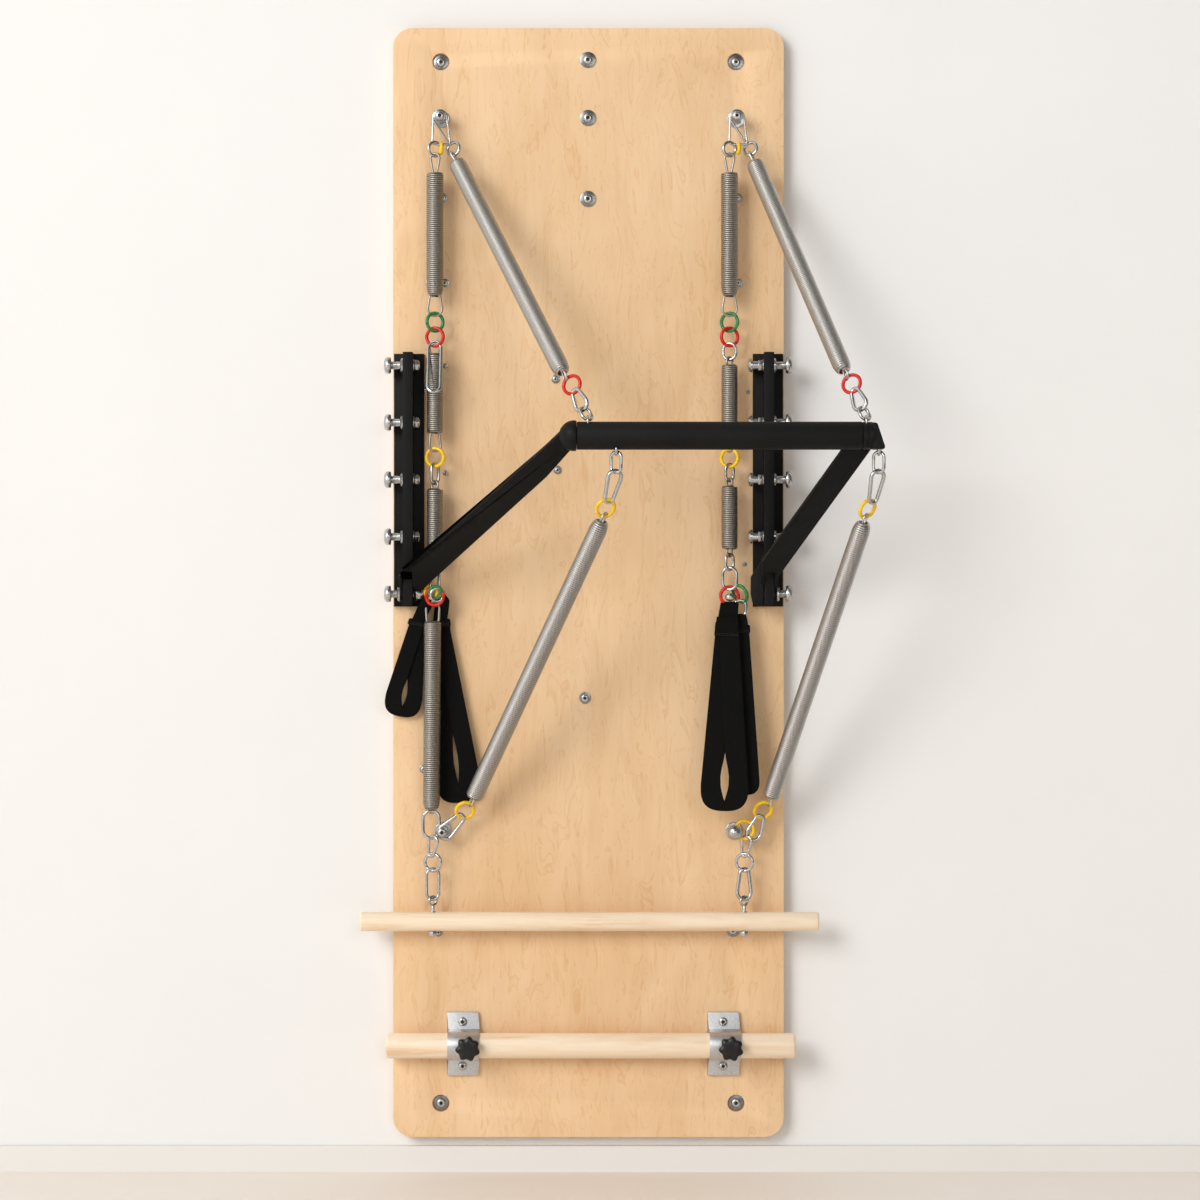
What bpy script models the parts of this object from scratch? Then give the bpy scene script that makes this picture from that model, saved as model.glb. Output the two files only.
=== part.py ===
# Wall-mounted pilates springboard: a plywood board with side rails, a push-through bar on two
# pivoting arms, sprung chains, strap handles, a roll-down bar and a clamped foot bar.
# Metres, +Z up, +X to the right as seen from the front, -Y out of the wall.
# The origin is the middle of the board's back face.

import math

import bmesh
import bpy
from mathutils import Matrix, Vector

# Clearances
GAP = 0.0003
RUNNING_GAP = 0.001
JOIN_DEPTH = 0.0006

# Board
BOARD_WIDTH = 0.715
BOARD_HEIGHT = 2.030
BOARD_THICKNESS = 0.025
BOARD_CORNER_RADIUS = 0.036
BOLT_HOLE_X = 0.270
BOLT_HOLE_INSET = 0.062
BOLT_HOLE_RADIUS = 0.006
COUNTERBORE_RADIUS = 0.0155
COUNTERBORE_DEPTH = 0.006

# Wire that rings, links and hooks are bent from
RING_WIRE = 0.0023
LINK_WIRE = 0.0022
HOOK_WIRE = 0.0030
SPRING_LOOP_WIRE = 0.0018
RING_RADIUS = 0.0155
SMALL_RING_RADIUS = 0.0125
RING_POINTS = 10
CHAIN_DEPTH = 0.036

# Eyebolts in the board
TOP_HOOK_X = 0.270
TOP_HOOK_Z = 0.848
BOTTOM_HOOK_X = 0.266
BOTTOM_HOOK_Z = -0.450
EYE_RADIUS = 0.011
EYE_POINTS = 12
WASHER_RADIUS = 0.015
WASHER_THICKNESS = 0.003
SHANK_RADIUS = 0.004

# Snap hooks at the top
SNAP_DROP = 0.041
SNAP_LEFT = -0.009
SNAP_RIGHT = 0.023
SNAP_CORNER = 0.005
COLUMN_RING_OFFSET = -0.009
BAR_RING_OFFSET = 0.0255
TOP_RING_YAW = -60.0

# Springs: bodies of the columns
COLUMN_SPRING_RADIUS = 0.0150
SLIM_SPRING_RADIUS = 0.0137
SPRING_TAPER = 0.009
SPRING_NOSE_RADIUS = 0.007
SPRING_LOOP_RADIUS = 0.0085
UPPER_SPRING_BODY = 0.227
LEFT_SECOND_BODY = 0.148
LEFT_THIRD_BODY = 0.137
RIGHT_SECOND_BODY = 0.148
RIGHT_THIRD_BODY = 0.118
LOOP_REACH_TOP = 0.030
LOOP_REACH_SHORT = 0.012
LOOP_REACH_BEHIND_SNAP = 0.026
LOOP_REACH_LONG = 0.031
LOOP_REACH_BOTTOM = 0.034

# Springs on the push-through bar
COIL_RADIUS = 0.0135
COIL_WIRE = 0.0022
COIL_COUNT = 11
COIL_POINTS = 8
COIL_LOOP_RADIUS = 0.0085
COIL_TAPER_TURNS = 1.5
COIL_NOSE = 0.005
COIL_LOOP_START = -108.0
COIL_LOOP_STEPS = 8
COIL_SEAT_GAP = 0.0006
COIL_YAW = 110.0

# Side rails
RAIL_X = 0.328
RAIL_WIDTH = 0.055
RAIL_BASE = 0.006
RAIL_WEB_WIDTH = 0.0176
RAIL_WEB_DEPTH = 0.051
RAIL_BOTTOM_Z = -0.044
RAIL_LENGTH = 0.462
RAIL_BOLT_COUNT = 5
RAIL_BOLT_INSET = 0.023
RAIL_BOLT_PITCH = (RAIL_LENGTH - 2 * RAIL_BOLT_INSET) / (RAIL_BOLT_COUNT - 1)
RAIL_BOLT_DEPTH = 0.030

# Rail bolts
BOLT_SHAFT_RADIUS = 0.006
BOLT_FLANGE_RADIUS = 0.0133
BOLT_FLANGE_THICKNESS = 0.004
BOLT_NECK_LENGTH = 0.019
BOLT_HEAD_RADIUS = 0.0146
BOLT_HEAD_THICKNESS = 0.012
BOLT_NUT_RADIUS = 0.0114
BOLT_NUT_THICKNESS = 0.012

# Push-through bar
BAR_DEPTH = 0.305
BAR_Z = 0.252
BAR_TUBE_RADIUS = 0.016
BAR_LEFT_END = -0.056
BAR_RIGHT_END = 0.512
FOAM_LEFT_END = -0.019
FOAM_RIGHT_END = 0.474
FOAM_RADIUS = 0.0243
BAR_EYE_RADIUS = 0.0095
BAR_EYE_WIRE = 0.0025
BAR_EYE_HEIGHT = 0.0238
UPPER_LEFT_EYE_X = 0.0
UPPER_RIGHT_EYE_X = 0.481
LOWER_LEFT_EYE_X = 0.049
LOWER_RIGHT_EYE_X = 0.503

# Arms of the push-through bar
ARM_THICKNESS = 0.008
ARM_SLOT_END = 0.060
LEFT_ARM_BEND = 0.045
RIGHT_ARM_BEND = 0.085
ARM_FOAM_GAP = 0.012
SLEEVE_FOAM_GAP = 0.003
PRONG_THICKNESS = 0.005
PRONG_RADIUS = 0.014
SLEEVE_RADIUS = 0.0225
LEFT_ARM_WIDTH = 0.069
LEFT_ARM_SLOPE = 0.845
LEFT_SLEEVE_WIDTH = 0.034
RIGHT_ARM_WIDTH = 0.048
RIGHT_ARM_SLOPE = 0.474
RIGHT_SLEEVE_WIDTH = 0.010
SLEEVE_STEP = 0.001

# Roll-down bar
DOWEL_RADIUS = 0.0174
DOWEL_LENGTH = 0.834
DOWEL_SHIFT = 0.002
DOWEL_Z = -0.6165
DOWEL_EYE_X = 0.283
DOWEL_EYE_RADIUS = 0.008
DOWEL_EYE_WIRE = 0.0025
DOWEL_SHANK_RADIUS = 0.003
DOWEL_NUT_RADIUS = 0.008
DOWEL_NUT_THICKNESS = 0.008
DOWEL_EYE_TURN = 40.0

# Foot bar and its clamps
FOOT_BAR_RADIUS = 0.0229
FOOT_BAR_LENGTH = 0.744
FOOT_BAR_SHIFT = 0.004
FOOT_BAR_RISE = 0.172
FOOT_BAR_Z = FOOT_BAR_RISE - BOARD_HEIGHT / 2
CLAMP_LEFT_X = -0.230
CLAMP_RIGHT_X = 0.246
CLAMP_WIDTH = 0.057
CLAMP_HEIGHT = 0.115
CLAMP_BASE = 0.008
CLAMP_WALL = 0.0035
CLAMP_SCREW_INSET = 0.017
CLAMP_SCREW_RADIUS = 0.004
KNOB_SHIFT = 0.012
KNOB_RADIUS = 0.0205
KNOB_LOBE_HEIGHT = 0.0022
KNOB_LOBES = 6
KNOB_THICKNESS = 0.016
KNOB_STAND_OFF = 0.006
KNOB_STEM_RADIUS = 0.004

# Strap handles
STRAP_THICKNESS = 0.008
STRAP_NECK_OUTER = 0.0085
STRAP_NECK_BORE = 0.0054
STRAP_NECK_WIDTH = 0.010
STRAP_THROAT_RADIUS = 0.0045
STRAP_SLIT_BOTTOM = 0.0065
STRAP_SLIT_TOP = 0.0040
STRAP_ARC_POINTS = 6

# Where the two chains meet the roll-down bar's swing axis
SWING_AXIS_Z = -0.4935

FRONT = -BOARD_THICKNESS
OUTWARD = Vector((0.0, -1.0, 0.0))
DOWN = Vector((0.0, 0.0, -1.0))


def depth(distance):
    """World Y of a point that stands this far in front of the board."""
    return FRONT - distance


# Scene, collections and materials

def clear_scene():
    for thing in list(bpy.data.objects):
        bpy.data.objects.remove(thing, do_unlink=True)


def new_collection(name):
    group = bpy.data.collections.new(name)
    bpy.context.scene.collection.children.link(group)
    return group


clear_scene()
PARTS = new_collection("pilates_springboard")
CUTTERS = new_collection("cutters")


def make_material(name, color, roughness, metallic):
    finish = bpy.data.materials.new(name)
    finish.use_nodes = True
    shader = finish.node_tree.nodes["Principled BSDF"]
    shader.inputs["Base Color"].default_value = (*color, 1.0)
    shader.inputs["Roughness"].default_value = roughness
    shader.inputs["Metallic"].default_value = metallic
    return finish


PLYWOOD = make_material("plywood", (0.72, 0.47, 0.25), 0.45, 0.0)
DOWEL_WOOD = make_material("dowel_wood", (0.80, 0.60, 0.38), 0.45, 0.0)
STEEL = make_material("steel", (0.55, 0.55, 0.54), 0.30, 1.0)
SPRING_STEEL = make_material("spring_steel", (0.50, 0.46, 0.42), 0.35, 1.0)
DARK_SPRING = make_material("dark_spring", (0.25, 0.21, 0.18), 0.40, 1.0)
BLACK_METAL = make_material("black_metal", (0.02, 0.02, 0.02), 0.50, 0.0)
FOAM = make_material("foam", (0.02, 0.02, 0.02), 0.75, 0.0)
WEBBING = make_material("webbing", (0.015, 0.015, 0.015), 0.85, 0.0)
ALUMINIUM = make_material("aluminium", (0.55, 0.56, 0.57), 0.40, 1.0)
KNOB_PLASTIC = make_material("knob_plastic", (0.02, 0.02, 0.02), 0.40, 0.0)


# Object helpers

def object_from(name, mesh):
    piece = bpy.data.objects.new(name, mesh)
    PARTS.objects.link(piece)
    return piece


def as_cutter(piece):
    PARTS.objects.unlink(piece)
    CUTTERS.objects.link(piece)
    piece.hide_render = True
    piece.display_type = "WIRE"
    return piece


def mesh_from(name, shape):
    mesh = bpy.data.meshes.new(name)
    bmesh.ops.recalc_face_normals(shape, faces=shape.faces)
    shape.to_mesh(mesh)
    shape.free()
    return mesh


def box(name, low, high):
    low = Vector(low)
    high = Vector(high)
    shape = bmesh.new()
    place = Matrix.Translation((low + high) / 2) @ Matrix.Diagonal((*(high - low), 1.0))
    bmesh.ops.create_cube(shape, size=1.0, matrix=place)
    return object_from(name, mesh_from(name, shape))


def bore_radius(radius, sides):
    """Radius of a many-sided bore whose flats clear a round of the given radius."""
    return (radius + GAP) / math.cos(math.pi / sides)


def cylinder(name, start, end, radius, sides=24):
    start = Vector(start)
    end = Vector(end)
    turn = (end - start).to_track_quat("Z", "Y").to_matrix().to_4x4()
    shape = bmesh.new()
    bmesh.ops.create_cone(
        shape, cap_ends=True, segments=sides, radius1=radius, radius2=radius,
        depth=(end - start).length, matrix=Matrix.Translation((start + end) / 2) @ turn)
    return object_from(name, mesh_from(name, shape))


def evaluated_mesh(piece):
    bpy.context.view_layer.update()
    graph = bpy.context.evaluated_depsgraph_get()
    return bpy.data.meshes.new_from_object(piece.evaluated_get(graph))


def tube(name, points, radius, closed=False, resolution=0):
    """A round wire along the points, as a welded mesh."""
    curve = bpy.data.curves.new(name, "CURVE")
    curve.dimensions = "3D"
    curve.bevel_depth = radius
    curve.bevel_resolution = resolution
    curve.use_fill_caps = not closed
    spline = curve.splines.new("POLY")
    spline.points.add(len(points) - 1)
    for knot, point in zip(spline.points, points):
        knot.co = (*point, 1.0)
    spline.use_cyclic_u = closed
    guide = object_from(name + "_guide", curve)
    mesh = evaluated_mesh(guide)
    bpy.data.objects.remove(guide, do_unlink=True)
    shape = bmesh.new()
    shape.from_mesh(mesh)
    bmesh.ops.remove_doubles(shape, verts=shape.verts, dist=1e-6)
    return object_from(name, mesh_from(name, shape))


def turned(name, profile, start, heading, sides=10):
    """A solid of revolution: (distance along the axis, radius) from top to bottom."""
    mesh = bpy.data.meshes.new(name)
    mesh.from_pydata([(radius, 0.0, -along) for along, radius in profile],
                     [(i, i + 1) for i in range(len(profile) - 1)], [])
    piece = object_from(name, mesh)
    screw = piece.modifiers.new("turn", "SCREW")
    screw.axis = "Z"
    screw.steps = sides
    screw.render_steps = sides
    screw.use_merge_vertices = True
    screw.merge_threshold = 1e-5
    solid = evaluated_mesh(piece)
    bpy.data.objects.remove(piece, do_unlink=True)
    turn = (-Vector(heading)).to_track_quat("Z", "Y").to_matrix().to_4x4()
    solid.transform(Matrix.Translation(start) @ turn)
    return object_from(name, solid)


def is_closed(mesh):
    shape = bmesh.new()
    shape.from_mesh(mesh)
    closed = len(shape.faces) > 0 and all(edge.is_contiguous for edge in shape.edges)
    shape.free()
    return closed


def combine(target, other, operation):
    """Boolean with the exact solver, or with the manifold one where that leaves a hole."""
    step = target.modifiers.new(operation, "BOOLEAN")
    step.operation = operation
    step.object = other
    for solver in ("EXACT", "MANIFOLD"):
        step.solver = solver
        mesh = evaluated_mesh(target)
        if is_closed(mesh):
            break
    target.modifiers.clear()
    target.data = mesh
    bpy.data.objects.remove(other, do_unlink=True)
    return target


def join(target, *others):
    for other in others:
        combine(target, other, "UNION")
    return target


def cut(target, *others):
    for other in others:
        combine(target, as_cutter(other), "DIFFERENCE")
    return target


def finish(piece, name, surface):
    piece.name = name
    piece.data.name = name
    piece.data.materials.clear()
    piece.data.materials.append(surface)
    piece.data.shade_smooth()
    piece.data.set_sharp_from_angle(angle=math.radians(40.0))
    return piece


def joint_empty(name, place):
    marker = bpy.data.objects.new(name, None)
    PARTS.objects.link(marker)
    marker.location = place
    marker.empty_display_size = 0.03
    bpy.context.view_layer.update()
    return marker


def hang_on(marker, *pieces):
    for piece in pieces:
        piece.parent = marker
        piece.matrix_parent_inverse = marker.matrix_world.inverted()


# Wire loops

def belt_outline(circles, arc_points):
    """The line of a belt round circles given as (across, along, radius), in order."""
    outline = []
    count = len(circles)
    if count == 1:
        across, along, radius = circles[0]
        for step in range(arc_points):
            angle = math.tau * (step / arc_points + 0.25)
            outline.append((across + radius * math.cos(angle), along + radius * math.sin(angle)))
        return outline
    normals = []
    for index in range(count):
        x1, z1, r1 = circles[index]
        x2, z2, r2 = circles[(index + 1) % count]
        reach = math.hypot(x2 - x1, z2 - z1)
        heading = math.atan2(z2 - z1, x2 - x1)
        normals.append(heading - math.acos((r1 - r2) / reach))
    for index in range(count):
        across, along, radius = circles[index]
        first = normals[index - 1]
        sweep = (normals[index] - first) % math.tau
        for step in range(arc_points):
            angle = first + sweep * step / (arc_points - 1)
            outline.append((across + radius * math.cos(angle), along + radius * math.sin(angle)))
    return outline


def chain_axes(heading, yaw):
    """Unit vectors along and across a link that is turned by yaw about its own chain."""
    heading = Vector(heading).normalized()
    flat = heading.cross(Vector((0.0, 1.0, 0.0)))
    flat = -flat.normalized() if flat.x > 0 else flat.normalized()
    flat = -flat
    forward = heading.cross(flat).normalized()
    angle = math.radians(yaw)
    return heading, flat * math.cos(angle) + forward * math.sin(angle)


def wire_loop(name, centre, heading, yaw, circles, wire, arc_points):
    along_axis, across_axis = chain_axes(heading, yaw)
    centre = Vector(centre)
    points = [centre + across_axis * across + along_axis * along
              for across, along in belt_outline(circles, arc_points)]
    return tube(name, points, wire, closed=True)


def ring(name, centre, heading, yaw, radius=RING_RADIUS, wire=RING_WIRE):
    return wire_loop(name, centre, heading, yaw, [(0.0, 0.0, radius)], wire, RING_POINTS)


def link(name, centre, heading, yaw, length, end_radius, wire=LINK_WIRE):
    """An oval link: length is between the middles of its two end wires."""
    straight = length / 2 - end_radius
    circles = [(0.0, straight, end_radius), (0.0, -straight, end_radius)]
    return wire_loop(name, centre, heading, yaw, circles, wire, 5)


def pear(name, centre, heading, yaw, length, top_radius, bottom_radius, wire=LINK_WIRE):
    """A carabiner that is wider at one end."""
    circles = [(0.0, length / 2 - bottom_radius, bottom_radius),
               (0.0, top_radius - length / 2, top_radius)]
    return wire_loop(name, centre, heading, yaw, circles, wire, 5)


# A chain is a row of parts. Each is (node, kind, sizes, yaw); kinds are ring, link, pear, spring.

def half_length(kind, sizes):
    if "length" in sizes:
        return sizes["length"] / 2
    return sizes["radius"]


def column_spring(name, centre, heading, yaw, sizes):
    """A close-wound spring as a turned body with a wire loop at each end."""
    heading = Vector(heading).normalized()
    body_start = -sizes["length"] / 2 + sizes["top_reach"]
    body_end = sizes["length"] / 2 - sizes["bottom_reach"]
    radius = sizes["radius"]
    profile = [(body_start, 0.0), (body_start, SPRING_NOSE_RADIUS), (body_start + SPRING_TAPER, radius),
               (body_end - SPRING_TAPER, radius), (body_end, SPRING_NOSE_RADIUS), (body_end, 0.0)]
    body = turned(name, profile, centre, heading)
    sink = SPRING_TAPER
    pieces = []
    for end, reach, side in (("top", sizes["top_reach"], -1.0), ("bottom", sizes["bottom_reach"], 1.0)):
        loop_length = reach + sink
        middle = Vector(centre) + heading * side * (sizes["length"] / 2 - loop_length / 2)
        pieces.append(link(name + end, middle, heading, yaw, loop_length,
                           min(SPRING_LOOP_RADIUS, loop_length / 2 - 0.0005), SPRING_LOOP_WIRE))
    return join(body, *pieces)


def build_link(name, kind, centre, heading, yaw, sizes):
    if kind == "ring":
        return ring(name, centre, heading, yaw, sizes["radius"], sizes["wire"])
    if kind == "link":
        return link(name, centre, heading, yaw, sizes["length"], sizes["end"], sizes["wire"])
    if kind == "pear":
        return pear(name, centre, heading, yaw, sizes["length"], sizes["top"], sizes["bottom"],
                    sizes["wire"])
    return column_spring(name, centre, heading, yaw, sizes)


def ring_sizes(radius=RING_RADIUS, wire=RING_WIRE):
    return {"radius": radius, "wire": wire}


def link_sizes(length, end, wire=LINK_WIRE):
    return {"length": length, "end": end, "wire": wire}


def pear_sizes(length, top, bottom, wire=LINK_WIRE):
    return {"length": length, "top": top, "bottom": bottom, "wire": wire}


def spring_sizes(body, radius, top_reach, bottom_reach):
    return {"length": body + top_reach + bottom_reach, "radius": radius, "top_reach": top_reach,
            "bottom_reach": bottom_reach, "wire": SPRING_LOOP_WIRE}


def step_between(first, second, same_node):
    """Distance between the middles of two parts that hang in each other."""
    play = -JOIN_DEPTH if same_node else GAP
    return (half_length(*first[:2]) + half_length(*second[:2])
            - first[1]["wire"] - second[1]["wire"] - play)


def build_chain(start, heading, parts):
    """Build parts from a first one whose middle is at start; returns nodes and middles."""
    heading = Vector(heading).normalized()
    centre = Vector(start)
    nodes = {}
    middles = []
    previous = None
    for node, kind, sizes, yaw in parts:
        if previous is not None:
            centre = centre + heading * step_between(previous[1:], (kind, sizes), previous[0] == node)
        middles.append(centre.copy())
        if kind != "none":
            piece = build_link(node + "_piece", kind, centre, heading, yaw, sizes)
            nodes.setdefault(node, []).append(piece)
        previous = (node, kind, sizes)
    return nodes, middles


def settle(nodes, surfaces):
    """Join what belongs to one node and give it its name and finish."""
    done = {}
    for node, pieces in nodes.items():
        done[node] = finish(join(pieces[0], *pieces[1:]), node, surfaces.get(node, STEEL))
    return done


# Board

def build_board():
    half_width = BOARD_WIDTH / 2
    half_height = BOARD_HEIGHT / 2
    board = box("panel", (-half_width, FRONT, -half_height), (half_width, 0.0, half_height))
    shape = bmesh.new()
    shape.from_mesh(board.data)
    uprights = [edge for edge in shape.edges
                if abs(edge.verts[0].co.y - edge.verts[1].co.y) > BOARD_THICKNESS / 2]
    bmesh.ops.bevel(shape, geom=uprights, offset=BOARD_CORNER_RADIUS, segments=5, profile=0.5,
                    affect="EDGES")
    shape.to_mesh(board.data)
    shape.free()
    for side in (-1.0, 1.0):
        for level in (-1.0, 1.0):
            across = side * BOLT_HOLE_X
            up = level * (half_height - BOLT_HOLE_INSET)
            cut(board,
                cylinder("hole", (across, FRONT - GAP, up), (across, GAP, up), BOLT_HOLE_RADIUS, 8),
                cylinder("sink", (across, FRONT - GAP, up),
                         (across, FRONT + COUNTERBORE_DEPTH, up), COUNTERBORE_RADIUS, 14))
    return finish(board, "panel", PLYWOOD)


# Eyebolts in the board

def round_points(middle, first_axis, second_axis, radius):
    """Points of an eye's wire in the plane of two axes."""
    points = []
    for step in range(EYE_POINTS):
        angle = math.tau * step / EYE_POINTS
        points.append(middle + first_axis * radius * math.cos(angle)
                      + second_axis * radius * math.sin(angle))
    return points


def build_hook(node, across, up, lying):
    """Washer, shank and eye. A lying eye is level, a standing one is upright."""
    face = FRONT - GAP
    washer = cylinder(node, (across, face, up), (across, face - WASHER_THICKNESS, up),
                      WASHER_RADIUS, 16)
    shank_end = depth(CHAIN_DEPTH - EYE_RADIUS + HOOK_WIRE / 2)
    shank = cylinder("shank", (across, face - WASHER_THICKNESS / 2, up), (across, shank_end, up),
                     SHANK_RADIUS, 10)
    middle = Vector((across, depth(CHAIN_DEPTH), up))
    sideways = Vector((1.0, 0.0, 0.0)) if lying else -DOWN
    eye_points = round_points(middle, OUTWARD, sideways, EYE_RADIUS)
    eye = tube("eye", eye_points, HOOK_WIRE, closed=True)
    return finish(join(washer, shank, eye), node, STEEL)


# Snap hook at each upper eyebolt, with the two rings that it carries

def build_top_clip(node, across):
    eye_bottom = TOP_HOOK_Z - EYE_RADIUS
    bar_z = eye_bottom + HOOK_WIRE + LINK_WIRE + GAP
    middle = Vector((across, depth(CHAIN_DEPTH), bar_z))
    circles = [(0.0, SNAP_CORNER, SNAP_CORNER), (SNAP_RIGHT, SNAP_DROP, SNAP_CORNER),
               (SNAP_LEFT, SNAP_DROP, SNAP_CORNER)]
    snap = wire_loop(node, middle, DOWN, 0.0, circles, LINK_WIRE, 5)
    return snap, bar_z - SNAP_DROP - SNAP_CORNER


def top_ring_centre(across, offset, snap_bottom):
    drop = SMALL_RING_RADIUS - RING_WIRE - LINK_WIRE + JOIN_DEPTH
    return Vector((across + offset, depth(CHAIN_DEPTH), snap_bottom - drop))


# Coil springs on the push-through bar: one wire, loop to loop

def coil_points(length):
    """Points of one wire along +Z from the first loop's far end to the last one's."""
    loop_height = 2 * COIL_LOOP_RADIUS
    body = length - 2 * loop_height
    start = loop_height
    points = []
    for step in range(COIL_LOOP_STEPS):
        angle = math.radians(COIL_LOOP_START + (180.0 - COIL_LOOP_START) * step / COIL_LOOP_STEPS)
        points.append((COIL_LOOP_RADIUS * math.sin(angle), 0.0,
                       COIL_LOOP_RADIUS - COIL_LOOP_RADIUS * math.cos(angle)))
    total = COIL_COUNT * COIL_POINTS
    for step in range(total + 1):
        turn = step / COIL_POINTS
        from_end = min(turn, COIL_COUNT - turn)
        ease = min(1.0, from_end / COIL_TAPER_TURNS)
        radius = COIL_NOSE + (COIL_RADIUS - COIL_NOSE) * ease
        angle = math.tau * turn
        points.append((-radius * math.cos(angle), -radius * math.sin(angle),
                       start + body * step / total))
    for step in range(COIL_LOOP_STEPS, 0, -1):
        angle = math.radians(COIL_LOOP_START + (180.0 - COIL_LOOP_START) * (step - 1) / COIL_LOOP_STEPS)
        points.append((COIL_LOOP_RADIUS * math.sin(angle), 0.0,
                       length - COIL_LOOP_RADIUS + COIL_LOOP_RADIUS * math.cos(angle)))
    return points


def least_gap(points, wire):
    """Least clear distance between stretches of the wire that aren't neighbours."""
    spots = []
    for first, second in zip(points, points[1:]):
        a = Vector(first)
        b = Vector(second)
        spots.append(a)
        spots.append((a + b) / 2)
    nearest = 1.0
    skip = 8
    for i in range(len(spots)):
        for j in range(i + skip, len(spots)):
            nearest = min(nearest, (spots[i] - spots[j]).length)
    return nearest - 2 * wire


def build_coil(node, start, end, yaw):
    heading = (end - start).normalized()
    along_axis, across_axis = chain_axes(heading, yaw)
    third_axis = along_axis.cross(across_axis)
    points = coil_points((end - start).length)
    placed = [start + across_axis * x + third_axis * y + along_axis * z for x, y, z in points]
    print(node, "least gap of the wire to itself, mm:", round(least_gap(points, COIL_WIRE) * 1000, 2))
    return finish(tube(node, placed, COIL_WIRE, resolution=1), node, SPRING_STEEL)


# Side rails and their bolts

def rail_bolt_z(index):
    return RAIL_BOTTOM_Z + RAIL_BOLT_INSET + index * RAIL_BOLT_PITCH


def build_rail(node, side):
    middle = side * RAIL_X
    back = FRONT - GAP
    top = RAIL_BOTTOM_Z + RAIL_LENGTH
    base = box(node, (middle - RAIL_WIDTH / 2, back - RAIL_BASE, RAIL_BOTTOM_Z),
               (middle + RAIL_WIDTH / 2, back, top))
    web = box("web", (middle - RAIL_WEB_WIDTH / 2, depth(RAIL_WEB_DEPTH), RAIL_BOTTOM_Z),
              (middle + RAIL_WEB_WIDTH / 2, back - RAIL_BASE / 2, top))
    rail = join(base, web)
    for index in range(RAIL_BOLT_COUNT):
        up = rail_bolt_z(index)
        cut(rail, cylinder("bore", (middle - RAIL_WIDTH / 2, depth(RAIL_BOLT_DEPTH), up),
                           (middle + RAIL_WIDTH / 2, depth(RAIL_BOLT_DEPTH), up),
                           bore_radius(BOLT_SHAFT_RADIUS, 10), 10))
    return finish(rail, node, BLACK_METAL)


def build_rail_bolt(node, side, index):
    """Head, neck, flange, shaft through the web, washer and nut, turned as one piece."""
    clamped = RAIL_WEB_WIDTH / 2 + GAP
    if index == 0:
        clamped += RUNNING_GAP + PRONG_THICKNESS
    flange = clamped + BOLT_FLANGE_THICKNESS
    neck = flange + BOLT_NECK_LENGTH - (clamped - RAIL_WEB_WIDTH / 2)
    head = neck + BOLT_HEAD_THICKNESS
    nut = clamped + BOLT_NUT_THICKNESS
    profile = [(-head, 0.0), (-head, BOLT_HEAD_RADIUS), (-neck, BOLT_HEAD_RADIUS),
               (-neck, BOLT_SHAFT_RADIUS), (-flange, BOLT_SHAFT_RADIUS),
               (-flange, BOLT_FLANGE_RADIUS), (-clamped, BOLT_FLANGE_RADIUS),
               (-clamped, BOLT_SHAFT_RADIUS), (clamped, BOLT_SHAFT_RADIUS),
               (clamped, BOLT_NUT_RADIUS), (nut, BOLT_NUT_RADIUS), (nut, 0.0)]
    place = Vector((side * RAIL_X, depth(RAIL_BOLT_DEPTH), rail_bolt_z(index)))
    return finish(turned(node, profile, place, Vector((-side, 0.0, 0.0))), node, STEEL)


# Push-through bar

BAR_AXIS = Vector((0.0, depth(BAR_DEPTH), BAR_Z))
PIVOT = Vector((0.0, depth(RAIL_BOLT_DEPTH), rail_bolt_z(0)))
ARM_VECTOR = BAR_AXIS - PIVOT
ARM_REACH = ARM_VECTOR.length
ARM_HEADING = ARM_VECTOR.normalized()
PLATE_END = ARM_REACH - (BAR_TUBE_RADIUS + SLEEVE_RADIUS) / 2
ARM_NORMAL = ARM_HEADING.cross(Vector((1.0, 0.0, 0.0))).normalized()


def on_arm(across, along, off=0.0):
    return Vector((across, 0.0, 0.0)) + PIVOT + ARM_HEADING * along + ARM_NORMAL * off


def eye_middle(across, upward):
    return BAR_AXIS + Vector((across, 0.0, upward * BAR_EYE_HEIGHT))


def bar_eye(across, upward):
    points = round_points(eye_middle(across, upward), -OUTWARD, -DOWN, BAR_EYE_RADIUS)
    return tube("eye", points, BAR_EYE_WIRE, closed=True)


BAR_EYES = ((UPPER_LEFT_EYE_X, 1.0), (UPPER_RIGHT_EYE_X, 1.0),
            (LOWER_LEFT_EYE_X, -1.0), (LOWER_RIGHT_EYE_X, -1.0))


def build_push_bar():
    bar = cylinder("push_bar", BAR_AXIS + Vector((BAR_LEFT_END, 0.0, 0.0)),
                   BAR_AXIS + Vector((BAR_RIGHT_END, 0.0, 0.0)), BAR_TUBE_RADIUS, 16)
    join(bar, *[bar_eye(across, upward) for across, upward in BAR_EYES])
    return finish(bar, "push_bar", BLACK_METAL)


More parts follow.
